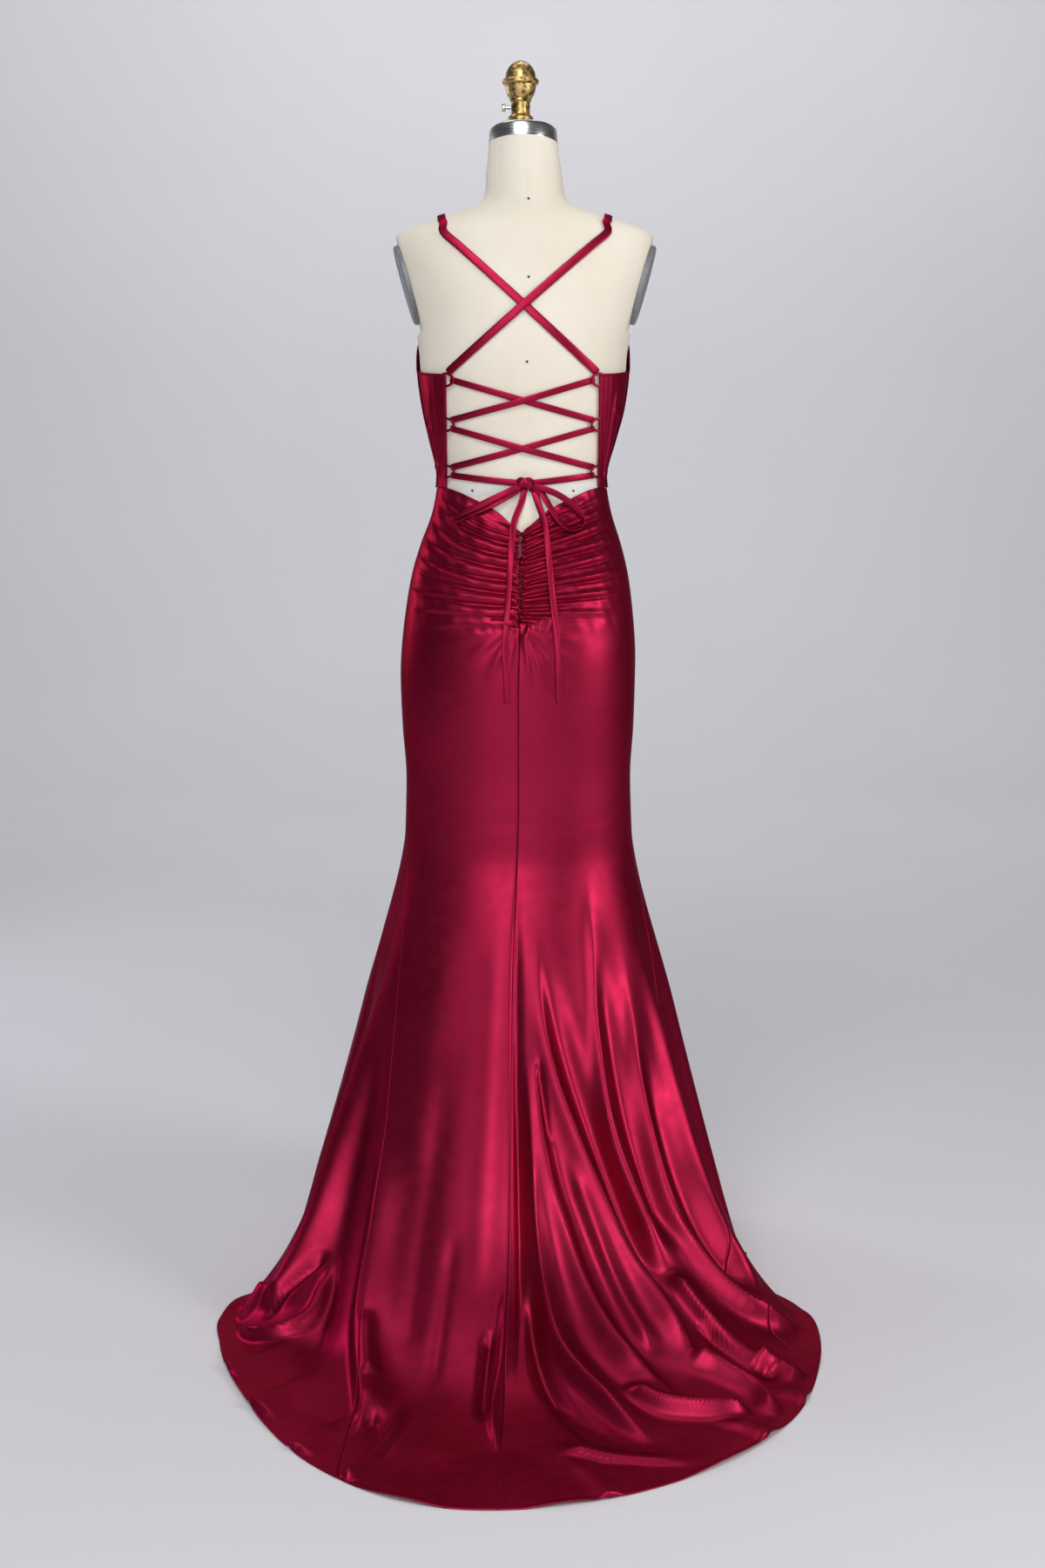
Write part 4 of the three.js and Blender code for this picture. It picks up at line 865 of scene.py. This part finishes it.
def backPanel(name, side, columns, reach, lift, folds, replaced):
    surface, width = backPlace(side, lift), bodice["backWidth"] * reach

    def place(u, v):
        across = (u if side > 0 else 1 - u) * reach
        points, normals = surface(across, v)
        rise = foldLift(points, normals, folds, lambda a, b: surface(a, b)[0])
        inward = np.minimum(across / reach, 1 - across / reach) * width
        rise = rise + rolledEdge(v * bodice["backHeight"]) + 0.4 * rolledEdge(inward)
        return points + normals * rise[:, None]

    return sheetPiece(name, columns, 96, place, (width * mm, bodice["backHeight"] * mm), [replaced])


backPanels, plackets = {}, {}
for sideName, side in (("left", 1), ("right", -1)):
    backPanels[sideName] = backPanel(
        f"gown_bodice_back_{sideName}", side, 44, 1, cloth["out"], backFolds[sideName],
        f"bodice_back_{sideName}",
    )
    plackets[sideName] = backPanel(
        f"lacing_placket_{sideName}", side, 18, bodice["placket"], cloth["out"] + cloth["bodiceOut"], [],
        f"placket_{sideName}",
    )


def bodiceFrontPlace(u, v):
    sideAngle = hugSide + bodice["sideGap"]
    angle = mixed(sideAngle, 360 - sideAngle, u)
    top = readRows(necklineRows, "angle", np.where(angle > 180, 360 - angle, angle), "z")
    z = mixed(top, bodice["bottom"], v)
    normals = figureNormal(z, angle)
    points = offFigure(z, angle, np.full(len(u), cloth["out"] + cloth["bodiceOut"]))
    depth, aside = (top - bodice["bottom"]) * v, np.abs(points[:, 0])
    across, up = (aside - cup["aside"]) / cup["across"], (z - cup["height"]) / cup["up"]
    dartLine = mixed(cup["dartLow"], cup["dartHigh"], np.clip((z - waist) / 120, 0, 1))
    dart = -cup["dart"] * np.exp(-(((aside - dartLine) / cup["dartHalf"]) ** 2))
    dart = dart * (1 - smoothStep(z, *cup["dartEnd"]))
    gather = cup["gather"] * np.sin(z * 0.34 + aside * 0.05) * np.exp(-up**2 - across**2)
    return points + normals * (rolledEdge(depth) + dart + gather)[:, None]


bodiceFront = sheetPiece(
    "gown_bodice_front", bodice["columns"], bodice["rows"], bodiceFrontPlace, (0.46, 0.2), ["bodice_front"]
)
print("bodice made")


# Straps, laces and the small loops that hold them

straps = dict(
    width=10.8, wall=1.7, points=150, lift=2.6, apex=(90, 1333), shoulder=(106, 1418), shift=-4,
    end=(97.5, 1238.5),
    ridge=dict(
        angles=(139, 131, 121, 111, 101, 90, 79, 69, 59, 49, 41), top=1445.4, drop=0.0009, power=2.5, lift=2.9
    ),
    crossing=dict(at=0.56, half=0.12, rise=2.2),
)
loops = dict(  # outline: inward from the lacing edge, up from the loop's middle, lift off the form
    heights=[1229, 1171, 1109], width=3.4, wall=2.0, points=40,
    outline=[(-2, 8, 5.2), (2, 8, 4.6), (5.5, 6.8, 4.4), (9, 4, 4.4), (10.5, 0, 4.4), (9, -4, 4.4),
             (5.5, -6.8, 4.4), (2, -8, 4.6), (-2, -8, 5.2)],
)
laces = dict(
    width=8.6, wall=1.5, points=90, lift=2.4, reach=94, turn=5.2, crossing=dict(at=0.5, half=0.2, rise=2.4)
)
knot = dict(place=(-4, 1092), half=(7.6, 4.0, 6.0), lift=5.6, turnWidth=7.4, turnWall=1.7)


# How far a strap or lace rises where it crosses over another, t of the way along
def crossingRise(crossing, over, t):
    return over * crossing["rise"] * math.exp(-(((t - crossing["at"]) / crossing["half"]) ** 2))


# Over the front, the ridge of the shoulder and the back
def strapPlaces(side, over):
    apex = (side * straps["apex"][0], straps["apex"][1])
    shoulder = (side * straps["shoulder"][0] + straps["shift"], straps["shoulder"][1])
    end = (-side * straps["end"][0], straps["end"][1])
    ridge, places = straps["ridge"], []
    for t in np.linspace(0, 1, 6):
        x, z = mixed(apex[0], shoulder[0], t), mixed(apex[1], shoulder[1], t)
        places.append((180 * side - float(angleAt(x, z)), z, straps["lift"], 0))
    for angle in ridge["angles"]:
        z = ridge["top"] - ridge["drop"] * abs(angle - 90) ** ridge["power"]
        places.append((side * angle, z, ridge["lift"], 0))
    for t in np.linspace(0, 1, 15):
        x, z = mixed(shoulder[0], end[0], t), mixed(shoulder[1], end[1], t)
        lift = straps["lift"] + crossingRise(straps["crossing"], over, t)
        places.append((float(angleAt(x, z)), z, lift, 0))
    return places


def laceEnd(side, i, turn):
    return side * laces["reach"], loops["heights"][i] + turn * laces["turn"]


def lacePlaces(start, end, over, sag):
    places = []
    for t in np.linspace(0, 1, 13):
        x, z = mixed(start[0], end[0], t), mixed(start[1], end[1], t) - sag * 4 * t * (1 - t)
        lift = laces["lift"] + crossingRise(laces["crossing"], over, t)
        places.append((float(angleAt(x, z)), z, lift, 0))
    return places


def fastenedRibbon(name, places, sizes, node):
    line, across, outward = ribbonOnFigure(places, sizes["points"])
    ribbonPiece(name, line, across, outward, sizes["width"], sizes["wall"], [node])


for sideName, side in (("left", 1), ("right", -1)):
    over = 0 if side > 0 else 1
    fastenedRibbon(f"shoulder_strap_{sideName}", strapPlaces(side, over), straps, f"strap_{sideName}")
    for i, height in enumerate(loops["heights"]):
        loopPlaces = [
            (float(angleAt(side * (bodice["edge"] - inward), height + up)), height + up, lift, 0)
            for inward, up, lift in loops["outline"]
        ]
        fastenedRibbon(f"lacing_loop_{sideName}_{i + 1}", loopPlaces, loops, f"lace_loop_{sideName}_{i + 1}")
knotX, knotZ = knot["place"]
laceRuns = dict(  # start, end, whether it crosses over, sag
    lace_left_1=(laceEnd(1, 0, 0), laceEnd(-1, 1, 1), 0, 1.0),
    lace_right_1=(laceEnd(-1, 0, 0), laceEnd(1, 1, 1), 1, 1.4),
    lace_left_2=(laceEnd(1, 1, -1), laceEnd(-1, 2, 1), 1, 0.8),
    lace_right_2=(laceEnd(-1, 1, -1), laceEnd(1, 2, 1), 0, 1.2),
    lace_left_3=(laceEnd(1, 2, -1), (knotX + 4, knotZ + 1), 0, 0.8),
    lace_right_3=(laceEnd(-1, 2, -1), (knotX - 4, knotZ + 1), 0, 0.6),
)
for node, run in laceRuns.items():
    fastenedRibbon(f"{node}_ribbon", lacePlaces(*run), laces, node)


# The knot: a lumpy core with the ribbon's turns wound over it


def knotPoint(u, v):
    turn, rise = 2 * math.pi * u, math.pi * v
    lump = 1 + 0.10 * np.sin(3 * turn + 4 * rise) + 0.08 * np.cos(5 * rise + turn)
    x = knot["half"][0] * np.sin(turn) * np.sin(rise) * lump
    y = knot["half"][1] * np.cos(turn) * np.sin(rise) * lump
    z = knot["half"][2] * np.cos(rise)
    return np.stack([x, y, z], -1) + offFigure(knotZ, angleAt(knotX, knotZ), knot["lift"])


knotMesh = gridMesh(40, 26, knotPoint, (0.03, 0.02))
closeMesh(knotMesh, 1e-5)
finishPiece("bow_knot", knotMesh, "satin", replaced=["lace_knot"])
knotTurns = [
    [(-13, 1094, 5.4), (-9, 1098, 8.6), (-3, 1097, 10.6), (2, 1092, 10.6), (4.5, 1086, 7.6), (4, 1083, 4.6)],
    [(6, 1095, 5.4), (2, 1098.4, 8.8), (-4, 1095.4, 11.6), (-9, 1090, 10.4), (-12, 1085, 6.6), (-11, 1082, 3.8)],
]
for i, turn in enumerate(knotTurns):
    line, across, outward = ribbonOnFigure(byX([(*place, 0) for place in turn]), 30)
    ribbonPiece(
        f"bow_knot_turn_{i + 1}", line, across, outward, knot["turnWidth"], knot["turnWall"], ["lace_knot"]
    )
print("lacing made")


# The zip: its slider and pull at the top of the middle seam, and the chain that shows in the gathered seam

def plateMesh(width, height, wall, rim):
    bm = bmesh.new()
    half, straight = width / 2, height / 2 - width / 2
    outline = []
    for centre, start in ((straight, 0), (-straight, math.pi)):
        for k in range(13):
            turn = start + math.pi * k / 12
            outline.append((half * math.cos(turn), centre + half * math.sin(turn)))
    face = bm.faces.new([bm.verts.new((x, 0, z)) for x, z in outline])
    bmesh.ops.inset_region(bm, faces=[face], thickness=rim)
    extruded = bmesh.ops.extrude_face_region(bm, geom=list(bm.faces))
    top = [item for item in extruded["geom"] if isinstance(item, bmesh.types.BMVert)]
    bmesh.ops.translate(bm, vec=(0, wall, 0), verts=top)
    bmesh.ops.recalc_face_normals(bm, faces=bm.faces)
    return bm


def seatOnBack(bm, z, angle, lift):
    seat, outward = offFigure(z, angle, lift), figureNormal(z, angle)
    for vert in bm.verts:
        x, y, up = vert.co
        rise = np.array([0, -outward[2], outward[1]])
        vert.co = Vector((seat + np.array([x, 0, 0]) + outward * y + rise * up) * mm)


zipParts = dict(  # size: width, height, wall and the inset of its rim; seat: height, angle, lift off the form
    zip_slider_body=dict(
        size=(5, 9, 2.4, 0.5), seat=(1018, 0.2, 3.4), edge=0.4, body=mainBody, node="zip_slider"
    ),
    zip_pull_tab=dict(
        size=(4.6, 20, 1.2, 0.4), seat=(1003.4, 0.2, 4.0), edge=0.25, body="zip_pull", node="zip_pull"
    ),
)
zipTeeth = dict(size=(1.1, 1.5, 0.9, 0.2), count=58, pitch=2.0, top=1012, lift=2.0)
for name, part in zipParts.items():
    plate = plateMesh(*part["size"])
    seatOnBack(plate, *part["seat"])
    piece = finishPiece(name, plate, "zip_metal", part["body"], [part["node"]], sharp=40)
    edge = piece.modifiers.new("edge", "BEVEL")
    edge.width, edge.segments, edge.limit_method = part["edge"] * mm, 3, "ANGLE"
chain = bmesh.new()
for i in range(zipTeeth["count"]):
    tooth = plateMesh(*zipTeeth["size"])
    for vert in tooth.verts:
        vert.co.x, vert.co.z = vert.co.z, vert.co.x
    seatOnBack(tooth, zipTeeth["top"] - i * zipTeeth["pitch"], 0.0, zipTeeth["lift"])
    teeth = bpy.data.meshes.new("tooth")
    tooth.to_mesh(teeth)
    tooth.free()
    chain.from_mesh(teeth)
    bpy.data.meshes.remove(teeth)
bmesh.ops.recalc_face_normals(chain, faces=chain.faces)
finishPiece("zip_chain", chain, "zip_metal", sharp=40)
print("zip made")


# The form: a canvas body with its seams and waist tape, and pins along the middle of the back

form = dict(
    bottom=800, top=1539, columns=160, rows=190, tape=(1077, 1093), tapeLift=0.25,
    seams=[0, 42, -42, 96, -96, 138, -138, 180], seamDepth=0.35, seamHalf=1.6,
    neckSeam=1470, neckSeamHalf=1.8,
)


def formPlace(u, v):
    angle, z = 360 * u, mixed(form["top"], form["bottom"], v)
    points, normals = figurePoint(z, angle), figureNormal(z, angle)
    radius = np.hypot(points[:, 0], points[:, 1])
    lift = np.zeros(len(u))
    for seam in form["seams"]:
        turn = (angle - seam + 180) % 360 - 180
        lift -= form["seamDepth"] * np.exp(-((np.radians(turn) * radius / form["seamHalf"]) ** 2))
    lift -= form["seamDepth"] * np.exp(-(((z - form["neckSeam"]) / form["neckSeamHalf"]) ** 2))
    lift = np.where(z > form["top"] - 1, 0, lift)
    return points + normals * lift[:, None]


formMesh = gridMesh(form["columns"], form["rows"], formPlace, (0.86, 0.74))
bmesh.ops.remove_doubles(formMesh, verts=formMesh.verts, dist=1e-6)
bmesh.ops.holes_fill(formMesh, edges=formMesh.edges, sides=0)
bmesh.ops.recalc_face_normals(formMesh, faces=formMesh.faces)
finishPiece("form_body", formMesh, "canvas", replaced=["form_torso"], sharp=50)


def tapePlace(u, v):
    z = mixed(form["tape"][1], form["tape"][0], v)
    return offFigure(z, 360 * u, np.full(len(u), form["tapeLift"]))


tapeMesh = gridMesh(120, 4, tapePlace, (0.7, 0.016))
closeMesh(tapeMesh)
finishPiece("form_waist_tape", tapeMesh, "canvas", look="tape")

pins = dict(
    places=[(-8, 1464), (-8, 1360), (-6, 1251), (67, 1083), (-68, 1083), (0, 1083), (1, 1075)], lift=0.3,
    head=[(0, -0.8), (1.3, -0.5), (1.7, 0), (1.3, 0.8), (0.7, 1.1), (0, 1.2)],
)
for i, (x, z) in enumerate(pins["places"]):
    angle = angleAt(x, z)
    turnedPiece(
        f"form_pin_{i + 1}", pins["head"], 14, "stand_paint", offFigure(z, angle, pins["lift"]),
        turnTo(figureNormal(z, angle)),
    )

# The neck's steel cap, and the gilt finial with its thumb screw
capTilt = math.atan(neck["slope"])
capProfile = [
    (0, 0), (46.2, 0), (46.4, 1.2), (45.9, 9), (45.6, 17.5), (44.9, 20), (43, 21.4), (36, 22.6),
    (24, 23.5), (0, 23.5),
]
turnedPiece(
    "form_neck_cap", capProfile, 96, "cap_steel", (-1, neck["centre"], neck["top"] + 0.3),
    turnTo((0, -math.sin(capTilt), math.cos(capTilt))), replaced=["neck_cap"],
)
finialAxis = (2.5, -8)
finialProfile = [
    (0, 1564.7), (8, 1564.7), (8, 1567.5), (16.4, 1567.5), (17.5, 1568.6), (17.5, 1571), (16.2, 1572.4),
    (16.6, 1574.2), (17.2, 1575.6), (16.6, 1577.6), (14.4, 1579.2), (12.9, 1580.6), (12.5, 1582),
    (12.5, 1596), (13.2, 1597.6), (14.6, 1598.6), (14.2, 1600.2), (15.4, 1602.2), (17.6, 1605.6),
    (19.4, 1610.5), (20.2, 1615), (20.4, 1618.6), (22.8, 1619.6), (24.5, 1621.2), (24.5, 1624.8),
    (23.2, 1626.3), (20.9, 1627), (20.5, 1628.8), (20.1, 1632), (18.8, 1636.6), (16.2, 1641.6),
    (12.4, 1645.6), (8, 1648.6), (3.6, 1650.5), (0, 1651),
]
turnedPiece("form_finial", finialProfile, 72, "gilding", (*finialAxis, 0), replaced=["finial"])
screwProfile = [
    (0, 12.8), (2.3, 12.8), (2.3, 20.3), (3.2, 20.5), (4.9, 20.5), (5.5, 21.1), (5.5, 24.2), (4.8, 25),
    (2.2, 25), (1.9, 24.6), (0, 24.6),
]
turnedPiece(
    "form_neck_screw", screwProfile, 40, "screw_steel", (*finialAxis, 1590), turnTo((1, 0, 0)), bevel=0.2,
    replaced=["neck_screw"], body="neck_screw",
)

# The oval plates on the armholes, with a raised rim: profile is (share of its half width, height)
armPlate = dict(
    reach=42, height=54, y=-4, shift=-3,
    profile=[(0, 0.3), (1, 0.3), (1, 4.6), (0.985, 6.2), (0.955, 7.2), (0.93, 7.3), (0.90, 6.9), (0.87, 6.3),
             (0, 6.3)],
)


def armPlatePiece(sideName, side):
    bm = spunMesh([(h * mm, 0, r * mm) for r, h in armPlate["profile"]], (1, 0, 0), 96, 1e-8)
    lean = math.atan(armhole["lean"] * math.cos(math.radians(armhole["turn"])))
    turn = math.radians(armhole["turn"]) if side > 0 else math.pi - math.radians(armhole["turn"])
    out = float(armholeLimit(armPlate["y"], armhole["z"]))
    seat = (out * side + armPlate["shift"], armPlate["y"], armhole["z"])
    for vert in bm.verts:
        x, y, z = vert.co.x / mm, vert.co.y * armPlate["reach"] / mm, vert.co.z * armPlate["height"] / mm
        x, z = x * math.cos(lean) + z * math.sin(lean), -x * math.sin(lean) + z * math.cos(lean)
        x, y = x * math.cos(turn) - y * math.sin(turn), x * math.sin(turn) + y * math.cos(turn)
        vert.co = Vector((x + seat[0], y + seat[1], z + seat[2])) * mm
    finishPiece(f"form_arm_plate_{sideName}", bm, "plate_paint", replaced=[f"arm_plate_{sideName}"], sharp=35)


armPlatePiece("left", 1)
armPlatePiece("right", -1)

# The pole and the round base under the skirt
turnedPiece(
    "stand_pole", [(0, 20.3), (14, 20.3), (14, 799.7), (0, 799.7)], 64, "stand_paint", (0, 0, 0), bevel=0.8,
    replaced=["pole"],
)
baseProfile = [
    (0, 0), (171, 0), (172, 0.8), (172, 11.5), (170.6, 13.6), (164, 17), (160, 17.4), (60, 18.8), (30, 20),
    (0, 20),
]
turnedPiece("stand_base", baseProfile, 128, "stand_paint", (0, 0, 0), replaced=["base"])
print("form made")


# Floor, backdrop and studio light

sweep = dict(half=8, before=6, behind=-4.6, bend=1.6, top=5.5, arcSteps=24, low=-0.0005)


# The paper runs flat under the train, bends up behind the form and rises out of the picture
def sweepPoint(step):
    if step == 0:
        return sweep["before"], sweep["low"]
    if step > sweep["arcSteps"] + 1:
        return sweep["behind"] - sweep["bend"], sweep["top"]
    turn = math.radians(90 * (step - 1) / sweep["arcSteps"])
    y = sweep["behind"] - sweep["bend"] * math.sin(turn)
    return y, sweep["low"] + sweep["bend"] * (1 - math.cos(turn))


def studioSweep(name, colour):
    rows = sweep["arcSteps"] + 2
    bm = bmesh.new()
    bmesh.ops.create_grid(bm, x_segments=4, y_segments=rows, size=0.5)
    for vert in bm.verts:
        y, z = sweepPoint(round((vert.co.y + 0.5) * rows))
        vert.co = (-2 * sweep["half"] * vert.co.x, y, z)
    bmesh.ops.recalc_face_normals(bm, faces=bm.faces)
    for face in bm.faces:
        face.smooth = True
    mesh = bpy.data.meshes.new(name)
    bm.to_mesh(mesh)
    bm.free()
    material, nodes, links, shader = nodeMaterial(name)
    tone = noiseNode(nodes, links, 1.2, 3)
    paler = tuple(min(1, c * 1.03) for c in colour)
    links.new(rampNode(nodes, links, tone, [(0.3, colour), (0.7, paler)]), shader.inputs["Base Color"])
    shader.inputs["Roughness"].default_value = 0.8
    mesh.materials.append(material)
    plane = bpy.data.objects.new(name, mesh)
    scene.collection.objects.link(plane)


studioSweep("studio_paper", (0.80, 0.79, 0.83))


def areaLight(name, place, target, size, power, colour=(1, 1, 1)):
    lamp = bpy.data.lights.new(name, "AREA")
    lamp.shape = "RECTANGLE"
    lamp.size, lamp.size_y = size
    lamp.energy = power
    lamp.color = colour
    light = bpy.data.objects.new(name, lamp)
    light.location = place
    light.rotation_euler = (Vector(target) - Vector(place)).to_track_quat("-Z", "Y").to_euler()
    light.visible_camera = False
    scene.collection.objects.link(light)


lights = {  # place, target, size, watts, colour
    "key": ((-3.0, 1.8, 1.8), (0, 0.1, 0.8), (1.1, 1.7), 46, (1, 0.98, 0.96)),
    "front fill": ((0.4, 4.7, 1.9), (0, 0, 0.9), (2.6, 1.8), 64),
    "left rim": ((2.3, -1.5, 1.45), (0, 0, 1.1), (0.45, 1.0), 13, (0.85, 0.9, 1)),
    "front top": ((0.4, 2.3, 3.2), (0, 0.5, 0.3), (1.8, 1.0), 38),
    "over the train": ((0.2, -0.7, 3.5), (0, 0.3, 0), (2.2, 0.9), 18),
    "paper wash": ((0, -3.2, 4.0), (0, -6.2, 1.4), (6.0, 1.0), 96),
}
for name, settings in lights.items():
    areaLight(name, *settings)

roomLight = dict(colour=(0.80, 0.82, 0.88), strength=0.10)
world = bpy.data.worlds.new("studio")
world.use_nodes = True
world.node_tree.nodes["Background"].inputs["Color"].default_value = (*roomLight["colour"], 1)
world.node_tree.nodes["Background"].inputs["Strength"].default_value = roomLight["strength"]
scene.world = world
scene.view_settings.view_transform = "Standard"

print("scene made")
